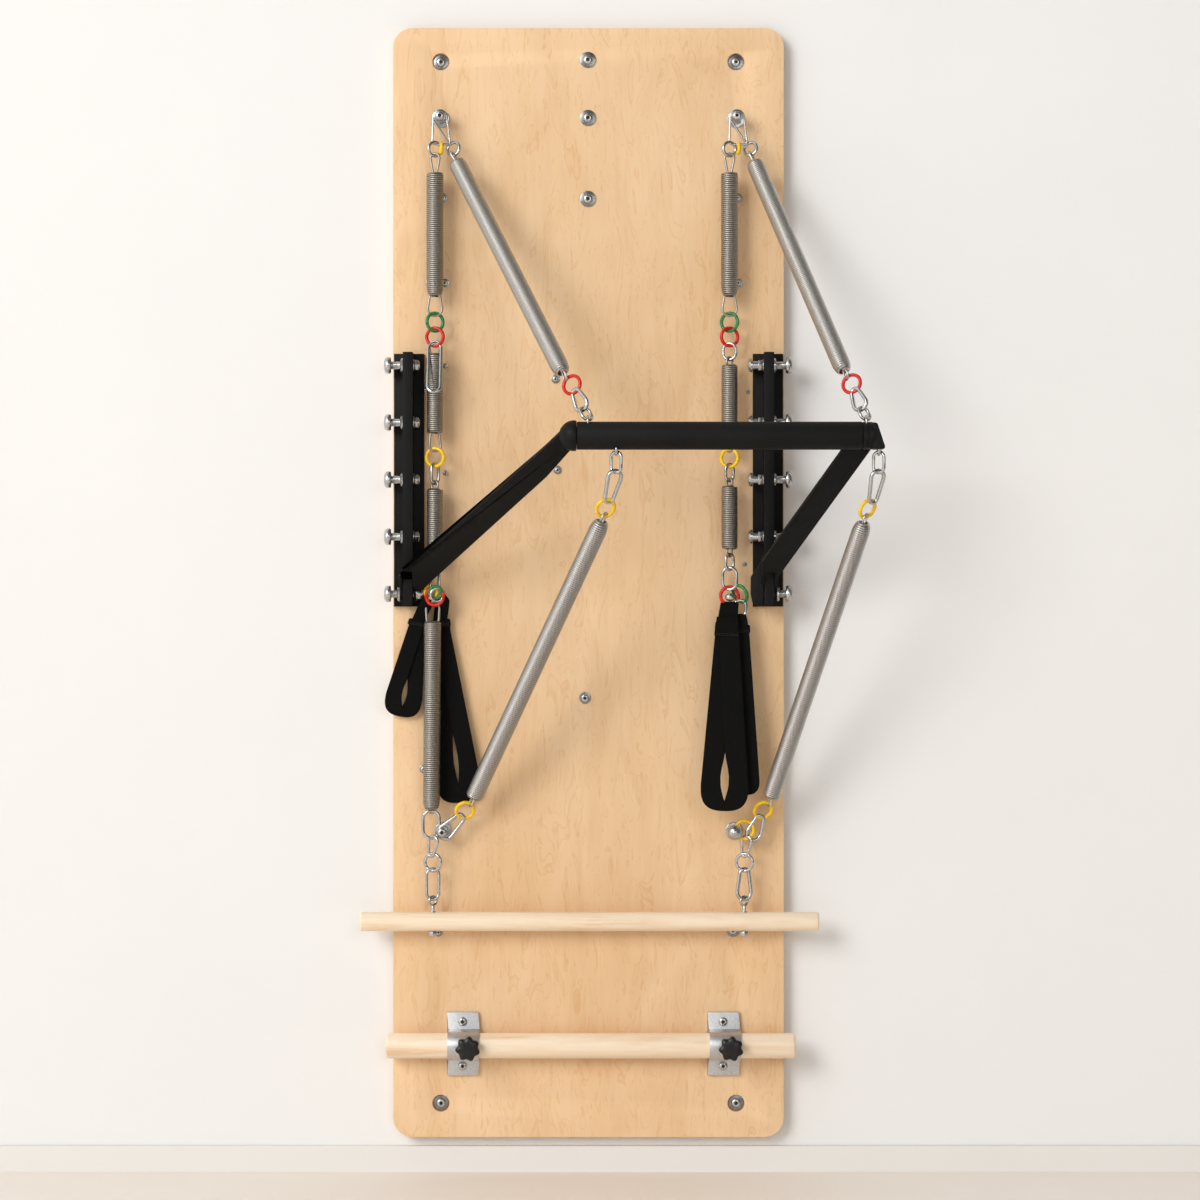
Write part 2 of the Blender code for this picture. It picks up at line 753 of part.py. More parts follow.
def build_foam():
    foam = cylinder("push_bar_foam", BAR_AXIS + Vector((FOAM_LEFT_END, 0.0, 0.0)),
                    BAR_AXIS + Vector((FOAM_RIGHT_END, 0.0, 0.0)), FOAM_RADIUS, 20)
    cut(foam, cylinder("bore", BAR_AXIS + Vector((FOAM_LEFT_END - GAP, 0.0, 0.0)),
                       BAR_AXIS + Vector((FOAM_RIGHT_END + GAP, 0.0, 0.0)),
                       bore_radius(BAR_TUBE_RADIUS, 16), 16))
    for across, upward in BAR_EYES:
        if FOAM_LEFT_END < across < FOAM_RIGHT_END:
            half = BAR_EYE_WIRE + RUNNING_GAP
            reach = BAR_EYE_RADIUS + BAR_EYE_WIRE + RUNNING_GAP
            middle = BAR_AXIS + Vector((across, 0.0, 0.0))
            near = upward * BAR_TUBE_RADIUS / 2
            far = upward * (FOAM_RADIUS + RUNNING_GAP)
            low = middle + Vector((-half, -reach, min(near, far)))
            high = middle + Vector((half, reach, max(near, far)))
            cut(foam, box("slot", low, high))
    return finish(foam, "push_bar_foam", FOAM)


def plate(name, outline):
    """A flat bar from an outline of (across, along) points in the plane of the arms."""
    shape = bmesh.new()
    lower = [shape.verts.new(on_arm(a, s, -ARM_THICKNESS / 2)) for a, s in outline]
    face = shape.faces.new(lower)
    grown = bmesh.ops.extrude_face_region(shape, geom=[face])
    moved = [v for v in grown["geom"] if isinstance(v, bmesh.types.BMVert)]
    bmesh.ops.translate(shape, verts=moved, vec=ARM_NORMAL * ARM_THICKNESS)
    return object_from(name, mesh_from(name, shape))


def build_arm(node, side, outline, sleeve_left, sleeve_right):
    """A flat arm with a forked foot round the rail and a sleeve round the bar."""
    middle = side * RAIL_X
    inner = RAIL_WEB_WIDTH / 2 + RUNNING_GAP
    outer = inner + PRONG_THICKNESS
    arm = plate(node, outline)
    for direction in (-1.0, 1.0):
        near = middle + direction * (inner + GAP)
        far = middle + direction * (outer - GAP)
        join(arm, cylinder("boss", on_arm(near, 0.0), on_arm(far, 0.0), PRONG_RADIUS, 12))
    sleeve = cylinder("sleeve", on_arm(sleeve_left, ARM_REACH), on_arm(sleeve_right, ARM_REACH),
                      SLEEVE_RADIUS, 16)
    bore = cylinder("bore", on_arm(sleeve_left - GAP, ARM_REACH),
                    on_arm(sleeve_right + GAP, ARM_REACH), bore_radius(BAR_TUBE_RADIUS, 16), 16)
    pin = cylinder("pin", on_arm(middle - 2 * outer, 0.0), on_arm(middle + 2 * outer, 0.0),
                   bore_radius(BOLT_SHAFT_RADIUS, 10), 10)
    join(arm, sleeve)
    cut(arm, bore, pin)
    return finish(arm, node, BLACK_METAL)


def fork_points(middle):
    """Foot of an arm, from its right prong to its left one, round the slot."""
    inner = RAIL_WEB_WIDTH / 2 + RUNNING_GAP
    return [(middle + inner + PRONG_THICKNESS, 0.0), (middle + inner, 0.0),
            (middle + inner, ARM_SLOT_END), (middle - inner, ARM_SLOT_END), (middle - inner, 0.0),
            (middle - inner - PRONG_THICKNESS, 0.0)]


def build_left_arm():
    middle = -RAIL_X
    left_edge = middle - RAIL_WEB_WIDTH / 2 - RUNNING_GAP - PRONG_THICKNESS
    right_edge = middle + RAIL_WEB_WIDTH / 2 + RUNNING_GAP + PRONG_THICKNESS
    sleeve_right = FOAM_LEFT_END - SLEEVE_FOAM_GAP
    sleeve_left = sleeve_right - LEFT_SLEEVE_WIDTH
    clear = ARM_REACH - FOAM_RADIUS - ARM_FOAM_GAP
    lower_start = LEFT_ARM_BEND - (LEFT_ARM_WIDTH - (right_edge - left_edge)) / LEFT_ARM_SLOPE
    outline = fork_points(middle)
    notch = BOLT_NUT_RADIUS + RUNNING_GAP
    top_left_x = left_edge + LEFT_ARM_SLOPE * (PLATE_END - LEFT_ARM_BEND)
    top_right_x = sleeve_right - SLEEVE_STEP
    lower_end = lower_start + (top_right_x - right_edge) / LEFT_ARM_SLOPE
    outline += [(left_edge, LEFT_ARM_BEND), (top_left_x, PLATE_END), (top_right_x, PLATE_END),
                (top_right_x, min(lower_end, clear)),
                (right_edge + LEFT_ARM_SLOPE * (notch - lower_start), notch), (right_edge, notch)]
    return build_arm("left_arm", -1.0, outline, sleeve_left, sleeve_right)


def build_right_arm():
    middle = RAIL_X
    left_edge = middle - RAIL_WEB_WIDTH / 2 - RUNNING_GAP - PRONG_THICKNESS
    right_edge = middle + RAIL_WEB_WIDTH / 2 + RUNNING_GAP + PRONG_THICKNESS
    sleeve_left = UPPER_RIGHT_EYE_X + BAR_EYE_WIRE + SLEEVE_FOAM_GAP
    sleeve_right = sleeve_left + RIGHT_SLEEVE_WIDTH
    top_left_x = sleeve_left + SLEEVE_STEP
    top_right_x = sleeve_right - SLEEVE_STEP
    clear = ARM_REACH - FOAM_RADIUS - ARM_FOAM_GAP / 2
    lower_start = RIGHT_ARM_BEND - (RIGHT_ARM_WIDTH - (right_edge - left_edge)) / RIGHT_ARM_SLOPE
    outline = fork_points(middle)
    outline += [(left_edge, RIGHT_ARM_BEND),
                (left_edge + RIGHT_ARM_SLOPE * (clear - RIGHT_ARM_BEND), clear),
                (top_left_x, clear), (top_left_x, PLATE_END), (top_right_x, PLATE_END),
                (top_right_x, lower_start + (top_right_x - right_edge) / RIGHT_ARM_SLOPE),
                (right_edge, lower_start)]
    return build_arm("right_arm", 1.0, outline, sleeve_left, sleeve_right)


# Roll-down bar

def dowel_eye_z():
    return DOWEL_Z + DOWEL_RADIUS + DOWEL_EYE_RADIUS + DOWEL_EYE_WIRE + RUNNING_GAP


def build_dowel():
    middle = Vector((DOWEL_SHIFT, depth(CHAIN_DEPTH), DOWEL_Z))
    half = Vector((DOWEL_LENGTH / 2, 0.0, 0.0))
    dowel = cylinder("roll_down_bar", middle - half, middle + half, DOWEL_RADIUS, 20)
    for side in (-1.0, 1.0):
        spot = Vector((side * DOWEL_EYE_X, depth(CHAIN_DEPTH), DOWEL_Z))
        cut(dowel, cylinder("bore", spot - DOWN * 2 * DOWEL_RADIUS, spot + DOWN * 2 * DOWEL_RADIUS,
                            bore_radius(DOWEL_SHANK_RADIUS, 10), 10))
    return finish(dowel, "roll_down_bar", DOWEL_WOOD)


def build_dowel_eyebolt(node, side):
    across = side * DOWEL_EYE_X
    y = depth(CHAIN_DEPTH)
    eye_z = dowel_eye_z()
    turn = math.radians(DOWEL_EYE_TURN)
    sideways = Vector((math.cos(turn), math.sin(turn), 0.0))
    points = round_points(Vector((across, y, eye_z)), sideways, -DOWN, DOWEL_EYE_RADIUS)
    eye = tube(node, points, DOWEL_EYE_WIRE, closed=True)
    shank_top = eye_z - DOWEL_EYE_RADIUS
    nut_top = DOWEL_Z - DOWEL_RADIUS - GAP
    nut_bottom = nut_top - DOWEL_NUT_THICKNESS
    nut_middle = (nut_top + nut_bottom) / 2
    shank = cylinder("shank", (across, y, nut_middle), (across, y, shank_top), DOWEL_SHANK_RADIUS, 10)
    nut = cylinder("nut", (across, y, nut_bottom), (across, y, nut_top), DOWEL_NUT_RADIUS, 6)
    return finish(join(eye, shank, nut), node, STEEL)


# Foot bar, clamps and knobs

FOOT_BAR_Y = depth(GAP + CLAMP_BASE + GAP + FOOT_BAR_RADIUS)


def build_foot_bar():
    middle = Vector((FOOT_BAR_SHIFT, FOOT_BAR_Y, FOOT_BAR_Z))
    half = Vector((FOOT_BAR_LENGTH / 2, 0.0, 0.0))
    return finish(cylinder("foot_bar", middle - half, middle + half, FOOT_BAR_RADIUS, 20),
                  "foot_bar", DOWEL_WOOD)


def build_clamp(node, across):
    half = CLAMP_WIDTH / 2
    back = FRONT - GAP
    outer = FOOT_BAR_RADIUS + GAP + CLAMP_WALL
    base = box(node, (across - half, back - CLAMP_BASE, FOOT_BAR_Z - CLAMP_HEIGHT / 2),
               (across + half, back, FOOT_BAR_Z + CLAMP_HEIGHT / 2))
    cheeks = box("cheeks", (across - half, FOOT_BAR_Y, FOOT_BAR_Z - outer),
                 (across + half, back - CLAMP_BASE / 2, FOOT_BAR_Z + outer))
    crown = cylinder("crown", (across - half, FOOT_BAR_Y, FOOT_BAR_Z),
                     (across + half, FOOT_BAR_Y, FOOT_BAR_Z), outer, 20)
    clamp = join(base, cheeks, crown)
    cut(clamp, cylinder("bore", (across - 2 * half, FOOT_BAR_Y, FOOT_BAR_Z),
                        (across + 2 * half, FOOT_BAR_Y, FOOT_BAR_Z), bore_radius(FOOT_BAR_RADIUS, 20), 20))
    stem = across + KNOB_SHIFT
    cut(clamp, cylinder("stem", (stem, FOOT_BAR_Y, FOOT_BAR_Z),
                        (stem, FOOT_BAR_Y - 2 * outer, FOOT_BAR_Z), bore_radius(KNOB_STEM_RADIUS, 10), 10))
    for level in (-1.0, 1.0):
        up = FOOT_BAR_Z + level * (CLAMP_HEIGHT / 2 - CLAMP_SCREW_INSET)
        cut(clamp, cylinder("screw", (across, FRONT + GAP, up),
                            (across, back - 2 * CLAMP_BASE, up), CLAMP_SCREW_RADIUS, 10))
    return finish(clamp, node, ALUMINIUM)


def build_knob(node, across):
    """A star knob whose stem passes through the saddle and bears on the foot bar."""
    stem_x = across + KNOB_SHIFT
    outer = FOOT_BAR_RADIUS + GAP + CLAMP_WALL
    back = FOOT_BAR_Y - outer - KNOB_STAND_OFF
    shape = bmesh.new()
    points = 4 * KNOB_LOBES
    rim = []
    for step in range(points):
        angle = math.tau * step / points
        radius = KNOB_RADIUS + KNOB_LOBE_HEIGHT * math.cos(KNOB_LOBES * angle)
        rim.append(shape.verts.new((stem_x + radius * math.sin(angle), back,
                                    FOOT_BAR_Z + radius * math.cos(angle))))
    face = shape.faces.new(rim)
    grown = bmesh.ops.extrude_face_region(shape, geom=[face])
    moved = [v for v in grown["geom"] if isinstance(v, bmesh.types.BMVert)]
    bmesh.ops.translate(shape, verts=moved, vec=OUTWARD * KNOB_THICKNESS)
    star = object_from(node, mesh_from(node, shape))
    stem = cylinder("stem", (stem_x, FOOT_BAR_Y - FOOT_BAR_RADIUS - GAP, FOOT_BAR_Z),
                    (stem_x, back - KNOB_THICKNESS / 2, FOOT_BAR_Z), KNOB_STEM_RADIUS, 10)
    return finish(join(star, stem), node, KNOB_PLASTIC)


# Strap handles

def strap_loop(name, circles, slit, top, bottom):
    """A flat closed loop of webbing, cut by its hand opening, tilted between two places."""
    along_axis, across_axis = chain_axes(bottom - top, 0.0)
    normal = along_axis.cross(across_axis).normalized()
    curve = bpy.data.curves.new(name, "CURVE")
    curve.dimensions = "2D"
    curve.fill_mode = "BOTH"
    curve.extrude = STRAP_THICKNESS / 2
    for outline in (circles, slit):
        points = belt_outline(outline, STRAP_ARC_POINTS)
        spline = curve.splines.new("POLY")
        spline.points.add(len(points) - 1)
        for knot, (across, along) in zip(spline.points, points):
            knot.co = (across, along, 0.0, 1.0)
        spline.use_cyclic_u = True
    guide = object_from(name + "_guide", curve)
    mesh = evaluated_mesh(guide)
    bpy.data.objects.remove(guide, do_unlink=True)
    place = Matrix((across_axis, along_axis, normal)).transposed().to_4x4()
    mesh.transform(Matrix.Translation(top) @ place)
    shape = bmesh.new()
    shape.from_mesh(mesh)
    bmesh.ops.remove_doubles(shape, verts=shape.verts, dist=1e-6)
    return object_from(name, mesh_from(name, shape))


def build_handle(node, neck, lateral, shoulder_step, loop_step, top_half, bottom_half, slit_top):
    """Neck sleeve round a ring's wire, a short throat, then the loop below its shoulder."""
    lateral = Vector(lateral).normalized() * STRAP_NECK_WIDTH / 2
    shoulder = neck + shoulder_step
    bottom = shoulder + loop_step
    length = loop_step.length
    circles = [(0.0, length - bottom_half, bottom_half), (0.0, top_half, top_half)]
    slit = [(0.0, length - bottom_half, STRAP_SLIT_BOTTOM),
            (0.0, length - bottom_half - slit_top, STRAP_SLIT_TOP)]
    loop = strap_loop(node, circles, slit, shoulder, bottom)
    sleeve = cylinder("sleeve", neck - lateral, neck + lateral, STRAP_NECK_OUTER, 14)
    throat_end = shoulder + loop_step.normalized() * top_half
    throat = tube("throat", [neck, throat_end], STRAP_THROAT_RADIUS, resolution=1)
    bore = cylinder("bore", neck - lateral * 2, neck + lateral * 2, STRAP_NECK_BORE, 14)
    return finish(cut(join(loop, sleeve, throat), bore), node, WEBBING)


# Assembly

build_board()
for word, side in (("left", -1.0), ("right", 1.0)):
    build_hook("top_" + word + "_eyebolt", side * TOP_HOOK_X, TOP_HOOK_Z, False)
    build_hook("bottom_" + word + "_eyebolt", side * BOTTOM_HOOK_X, BOTTOM_HOOK_Z, True)
    build_rail(word + "_rail", side)
    for number in range(RAIL_BOLT_COUNT):
        build_rail_bolt(word + "_rail_bolt_" + str(number + 1), side, number)

push_bar_joint = joint_empty("push_bar_joint", PIVOT)
hang_on(push_bar_joint, build_push_bar(), build_foam(), build_left_arm(), build_right_arm())

# Lower clips: the parts that stay on the lower eyebolts

HOOK_DEPTH_Y = depth(CHAIN_DEPTH)
OVAL_END = 0.0150
OVAL_LENGTH = 0.0500
HOOK_LINK_LENGTH = 0.0370
HOOK_LINK_END = 0.0080
BOTTOM_LINK_YAW = 80.0
LEFT_HANG_SHIFT = 0.0197
RIGHT_HANG_SHIFT = 0.0180
LEFT_OVAL_X = -BOTTOM_HOOK_X - LEFT_HANG_SHIFT
RIGHT_RING_X = BOTTOM_HOOK_X + RIGHT_HANG_SHIFT


def lower_link(node, across, carrier_z, carrier_wire):
    """The narrow link that the swinging chain hangs in."""
    top = carrier_z + carrier_wire + LINK_WIRE - JOIN_DEPTH
    middle = Vector((across, HOOK_DEPTH_Y, top - HOOK_LINK_LENGTH / 2))
    return link(node, middle, DOWN, BOTTOM_LINK_YAW, HOOK_LINK_LENGTH, HOOK_LINK_END)


oval_bottom = SWING_AXIS_Z - RING_WIRE - LINK_WIRE - GAP + HOOK_LINK_LENGTH \
    - 2 * LINK_WIRE + JOIN_DEPTH
oval_centre = Vector((LEFT_OVAL_X, HOOK_DEPTH_Y, oval_bottom + OVAL_LENGTH / 2))
oval = link("oval", oval_centre, DOWN, 0.0, OVAL_LENGTH, OVAL_END)
left_link = lower_link("left_link", LEFT_OVAL_X, oval_bottom, LINK_WIRE)

LEFT_CLIP_START = Vector((-0.2340, HOOK_DEPTH_Y, -0.4240))
LEFT_CLIP_END = Vector((-0.2690, HOOK_DEPTH_Y, -0.4630))
RIGHT_CLIP_START = Vector((0.3140, HOOK_DEPTH_Y, -0.4240))
RIGHT_CLIP_END = Vector((0.2960, HOOK_DEPTH_Y, -0.4680))
CLIP_TOP = 0.0080
CLIP_BOTTOM = 0.0105


def clip_and_ring(word, start, end, target):
    """A carabiner from end to start, then a yellow ring that faces the spring above."""
    heading = (end - start).normalized()
    carabiner = pear(word + "_carabiner", (start + end) / 2, heading, 20.0,
                     (end - start).length, CLIP_TOP, CLIP_BOTTOM)
    pull = (target - start).normalized()
    centre = start + pull * (RING_RADIUS - RING_WIRE - LINK_WIRE + JOIN_DEPTH)
    yellow = ring(word + "_yellow", centre, pull, 20.0)
    return carabiner, yellow, centre


# Chains between the push-through bar's eyes and the rings that its springs pull from

UPPER_CLIP_LINK, UPPER_CLIP_PEAR = 0.028, 0.052
LOWER_CLIP_LINK, LOWER_CLIP_PEAR = 0.036, 0.058
CLIP_LINK_END = 0.0100
CLIP_PEAR_SMALL = 0.0080
CLIP_PEAR_LARGE = 0.0125


def yaw_across(heading, lateral):
    """The yaw that turns a link's plane to hold the given direction."""
    flat = chain_axes(heading, 0.0)[1]
    forward = chain_axes(heading, 90.0)[1]
    return math.degrees(math.atan2(lateral.dot(forward), lateral.dot(flat)))


def hook_reach(kind, sizes):
    """From a part's middle to the middle of the crossing where the next part hangs in it."""
    return half_length(kind, sizes) - sizes["wire"] + JOIN_DEPTH / 2


def bar_chain(word, eye_x, upward, anchor):
    """Link, carabiner and ring from the bar's eye, then the spring on to the anchor ring.

    Below the bar the link hangs straight down and the carabiner leans towards the spring.
    """
    middle = eye_middle(eye_x, upward)
    taut = (anchor - middle).normalized()
    hang = taut if upward > 0 else Vector((0.0, 0.0, -1.0))
    lean = (hang + taut * 2.0).normalized()
    pull = Vector((0.0, hang.y, hang.z)).normalized()
    flat_drop = BAR_EYE_RADIUS * (1.0 - math.cos(math.pi / EYE_POINTS))
    spot = middle + pull * BAR_EYE_RADIUS \
        - hang * (BAR_EYE_WIRE + LINK_WIRE + GAP + flat_drop)
    link_length, pear_length = (UPPER_CLIP_LINK, UPPER_CLIP_PEAR) if upward > 0 \
        else (LOWER_CLIP_LINK, LOWER_CLIP_PEAR)
    node = word + "_bar_clip"
    parts = [("link", link_sizes(link_length, CLIP_LINK_END), yaw_across(hang, Vector((1.0, 0.0, 0.0))), hang),
             ("pear", pear_sizes(pear_length, CLIP_PEAR_LARGE, CLIP_PEAR_SMALL), 45.0, lean),
             ("ring", ring_sizes(), -20.0, taut)]
    pieces = []
    for index, (kind, sizes, yaw, heading) in enumerate(parts):
        near = hook_reach(kind, sizes) if index else half_length(kind, sizes)
        centre = spot + heading * near
        pieces.append(build_link(node + "_piece", kind, centre, heading, yaw, sizes))
        spot = centre + heading * hook_reach(kind, sizes)
    clip = settle({node: pieces}, {})[node]
    heading = (anchor - centre).normalized()
    contact = RING_RADIUS - RING_WIRE - COIL_WIRE - COIL_SEAT_GAP
    start = anchor - heading * contact
    end = centre + heading * contact
    spring = build_coil(word + "_bar_spring", start, end, COIL_YAW)
    return clip, spring


# Upper clips and the springs that hang from them

top_nodes = {}
column_tops = {}
bar_anchors = {}
for word, side in (("left", -1.0), ("right", 1.0)):
    node = "top_" + word + "_snap_hook"
    snap, snap_bottom = build_top_clip(node, side * TOP_HOOK_X)
    column_tops[word] = top_ring_centre(side * TOP_HOOK_X, COLUMN_RING_OFFSET, snap_bottom)
    bar_anchors[word] = top_ring_centre(side * TOP_HOOK_X, BAR_RING_OFFSET, snap_bottom)
    column_ring = ring(node + "_a", column_tops[word], DOWN, TOP_RING_YAW, SMALL_RING_RADIUS)
    eye_x = UPPER_LEFT_EYE_X if side < 0 else UPPER_RIGHT_EYE_X
    pull = BAR_AXIS + Vector((eye_x, 0.0, BAR_EYE_HEIGHT)) - bar_anchors[word]
    bar_ring = ring(node + "_b", bar_anchors[word], pull, 20.0, SMALL_RING_RADIUS)
    top_nodes[word] = finish(join(snap, column_ring, bar_ring), node, STEEL)


def upper_anchor(word, eye_x):
    """Where the spring's wire lies in its ring, on the side that faces the bar."""
    centre = bar_anchors[word]
    pull = (BAR_AXIS + Vector((eye_x, 0.0, BAR_EYE_HEIGHT)) - centre).normalized()
    return centre + pull * (SMALL_RING_RADIUS - RING_RADIUS)


bar_pieces = []
for word, eye_x in (("left", UPPER_LEFT_EYE_X), ("right", UPPER_RIGHT_EYE_X)):
    clip, spring = bar_chain("upper_" + word, eye_x, 1.0, upper_anchor(word, eye_x))
    bar_pieces.append(clip)

left_target = BAR_AXIS + Vector((LOWER_LEFT_EYE_X, 0.0, -BAR_EYE_HEIGHT))
right_target = BAR_AXIS + Vector((LOWER_RIGHT_EYE_X, 0.0, -BAR_EYE_HEIGHT))
left_clip = clip_and_ring("left", LEFT_CLIP_START, LEFT_CLIP_END, left_target)
right_clip = clip_and_ring("right", RIGHT_CLIP_START, RIGHT_CLIP_END, right_target)
finish(join(oval, left_link, left_clip[0], left_clip[1]), "bottom_left_carabiner", STEEL)

hang_ring_centre = Vector((RIGHT_RING_X, HOOK_DEPTH_Y, oval_bottom - RING_WIRE + LINK_WIRE + RING_RADIUS))
hang_ring = ring("hang_ring", hang_ring_centre, DOWN, 0.0)
right_link = lower_link("right_link", RIGHT_RING_X, hang_ring_centre.z - RING_RADIUS, RING_WIRE)
finish(join(hang_ring, right_link, right_clip[0], right_clip[1]), "bottom_right_carabiner", STEEL)

for word, eye_x, anchor in (("left", LOWER_LEFT_EYE_X, left_clip[2]),
                            ("right", LOWER_RIGHT_EYE_X, right_clip[2])):
    clip, spring = bar_chain("lower_" + word, eye_x, -1.0, anchor)
    bar_pieces.append(clip)
hang_on(push_bar_joint, *bar_pieces)

# Left spring column, from the upper snap hook to the oval link below

left_top = column_tops["left"]
left_upper = [
    ("top", "none", ring_sizes(SMALL_RING_RADIUS), 0.0),
    ("left_spring_1", "spring",
     spring_sizes(UPPER_SPRING_BODY, COLUMN_SPRING_RADIUS, LOOP_REACH_TOP, LOOP_REACH_BOTTOM), 20.0),
    ("left_coupling_1", "ring", ring_sizes(), -40.0),
    ("left_coupling_1", "ring", ring_sizes(), 20.0),
    ("left_coupling_1", "none", ring_sizes(0.0, LINK_WIRE), 0.0),
    ("left_spring_2", "spring",
     spring_sizes(LEFT_SECOND_BODY, SLIM_SPRING_RADIUS, LOOP_REACH_BEHIND_SNAP, LOOP_REACH_LONG),
     90.0),
    ("left_coupling_2", "ring", ring_sizes(), 15.0),
    ("left_coupling_2", "link", link_sizes(0.036, 0.0085), -45.0),
    ("left_spring_3", "spring",
     spring_sizes(LEFT_THIRD_BODY, SLIM_SPRING_RADIUS, LOOP_REACH_SHORT, LOOP_REACH_SHORT), 45.0),
    ("left_coupling_3", "link", link_sizes(0.040, 0.0100), -45.0),
    ("left_coupling_3", "ring", ring_sizes(), 0.0),
]
left_nodes, left_middles = build_chain(left_top, DOWN, left_upper)

# The long snap hook stands in front of the second spring and hangs in the red ring with it
SNAP_LENGTH = 0.092
SNAP_LEAN = 0.43
red_ring_bottom = left_middles[3].z - RING_RADIUS
lean = Vector((0.0, -SNAP_LEAN, -1.0)).normalized()
snap_top = Vector((left_top.x, HOOK_DEPTH_Y, red_ring_bottom + RING_WIRE + LINK_WIRE - JOIN_DEPTH))
long_snap = link("long_snap", snap_top + lean * SNAP_LENGTH / 2, lean, 0.0, SNAP_LENGTH, 0.0115)
left_nodes["left_coupling_1"].append(long_snap)

cluster_centre = left_middles[-1]
oval_top = oval_centre + Vector((0.0, 0.0, OVAL_LENGTH / 2))
last_heading = (oval_centre - cluster_centre).normalized()
last_top = cluster_centre + last_heading * (RING_RADIUS - RING_WIRE - SPRING_LOOP_WIRE - GAP)
last_bottom = oval_top - Vector((0.0, 0.0, LINK_WIRE + SPRING_LOOP_WIRE + GAP))
last_heading = (last_bottom - last_top).normalized()
last_length = (last_bottom - last_top).length
fourth = column_spring("left_spring_4", (last_top + last_bottom) / 2, last_heading, 90.0,
                       {"length": last_length, "radius": COLUMN_SPRING_RADIUS,
                        "top_reach": LOOP_REACH_SHORT, "bottom_reach": LOOP_REACH_SHORT})
left_nodes["left_spring_4"] = [fourth]
left_surfaces = {"left_spring_" + str(number): DARK_SPRING for number in range(1, 5)}
settle(left_nodes, left_surfaces)

# Right spring column, which hangs free with the two handles at its end

right_top = column_tops["right"]
right_upper = [
    ("top", "none", ring_sizes(SMALL_RING_RADIUS), 0.0),
    ("right_spring_1", "spring",
     spring_sizes(UPPER_SPRING_BODY, COLUMN_SPRING_RADIUS, LOOP_REACH_TOP, LOOP_REACH_BOTTOM), 0.0),
    ("right_coupling_1", "ring", ring_sizes(), -70.0),
    ("right_coupling_1", "ring", ring_sizes(), -20.0),
    ("right_coupling_1", "link", link_sizes(0.034, 0.0085), 40.0),
    ("right_spring_2", "spring",
     spring_sizes(RIGHT_SECOND_BODY, SLIM_SPRING_RADIUS, LOOP_REACH_SHORT, LOOP_REACH_SHORT), -50.0),
    ("right_coupling_2", "ring", ring_sizes(), 25.0),
    ("right_coupling_2", "link", link_sizes(0.030, 0.0085), -35.0),
    ("right_spring_3", "spring",
     spring_sizes(RIGHT_THIRD_BODY, SLIM_SPRING_RADIUS, LOOP_REACH_SHORT, LOOP_REACH_SHORT), 55.0),
    ("right_handle_rings", "link", link_sizes(0.028, 0.0085), -35.0),
    ("right_handle_rings", "link", link_sizes(0.040, 0.0130), 15.0),
    ("right_handle_rings", "ring", ring_sizes(), -15.0),
]
right_nodes, right_middles = build_chain(right_top, DOWN, right_upper)
front_ring_centre = right_middles[-1]
REAR_LINK_LENGTH = 0.0300
REAR_LINK_END = 0.0105
side_heading = Vector((0.55, 0.0, -1.0)).normalized()
side_start = right_middles[-2] + Vector((0.004, 0.0, 0.0))
side_parts = [("right_handle_rings", "none", link_sizes(0.040, 0.0130), 0.0),
              ("right_handle_rings", "ring", ring_sizes(), 50.0)]
side_nodes, side_middles = build_chain(side_start, side_heading, side_parts)
right_nodes["right_handle_rings"] += side_nodes["right_handle_rings"]
rear_step = RING_RADIUS + REAR_LINK_LENGTH / 2 - RING_WIRE - LINK_WIRE + JOIN_DEPTH
rear_link_centre = side_middles[-1] + DOWN * rear_step
rear_link = link("rear_link", rear_link_centre, DOWN, 0.0, REAR_LINK_LENGTH, REAR_LINK_END)
right_nodes["right_handle_rings"].append(rear_link)
right_surfaces = {"right_spring_" + str(number): DARK_SPRING for number in range(1, 4)}
right_done = settle(right_nodes, right_surfaces)

# Handles

NECK_DROP = 0.0008
SLEEVE_SETTLE = 0.0023
NECK_ANGLE = 1.5 * 360.0 / RING_POINTS
NECK_RADIUS = RING_RADIUS * math.cos(math.pi / RING_POINTS) + SLEEVE_SETTLE

# Half widths of each loop at its shoulder and at its far end, and the length of its hand slit
SHORT_WIDTHS = (0.0130, 0.0260, 0.055)
LONG_WIDTHS = (0.0150, 0.0350, 0.100)
FRONT_WIDTHS = (0.0190, 0.0430, 0.095)
REAR_WIDTHS = (0.0130, 0.0250, 0.095)

# From each neck to the shoulder of its loop, and from the shoulder to the loop's far end
SHORT_SHOULDER = Vector((-0.0125, 0.0215, -0.0333))
SHORT_LOOP = Vector((-0.038, 0.0, -0.179))
LONG_SHOULDER = Vector((0.0115, 0.0215, -0.0313))
LONG_LOOP = Vector((0.036, 0.0, -0.336))
FRONT_SHOULDER = Vector((-0.001, -0.014, -0.004))
FRONT_LOOP = Vector((-0.012, -0.026, -0.368))
REAR_SHOULDER = Vector((0.0, -0.002, -0.004))
REAR_LOOP = Vector((0.001, -0.022, -0.306))


def ring_spot(centre, angle_degrees, radius):
    """A place on a ring that faces the front, by its angle from straight down."""
    angle = math.radians(angle_degrees)
    return centre + Vector((radius * math.sin(angle), 0.0, -radius * math.cos(angle)))


def ring_tangent(angle_degrees):
    angle = math.radians(angle_degrees)
    return Vector((math.cos(angle), 0.0, math.sin(angle)))


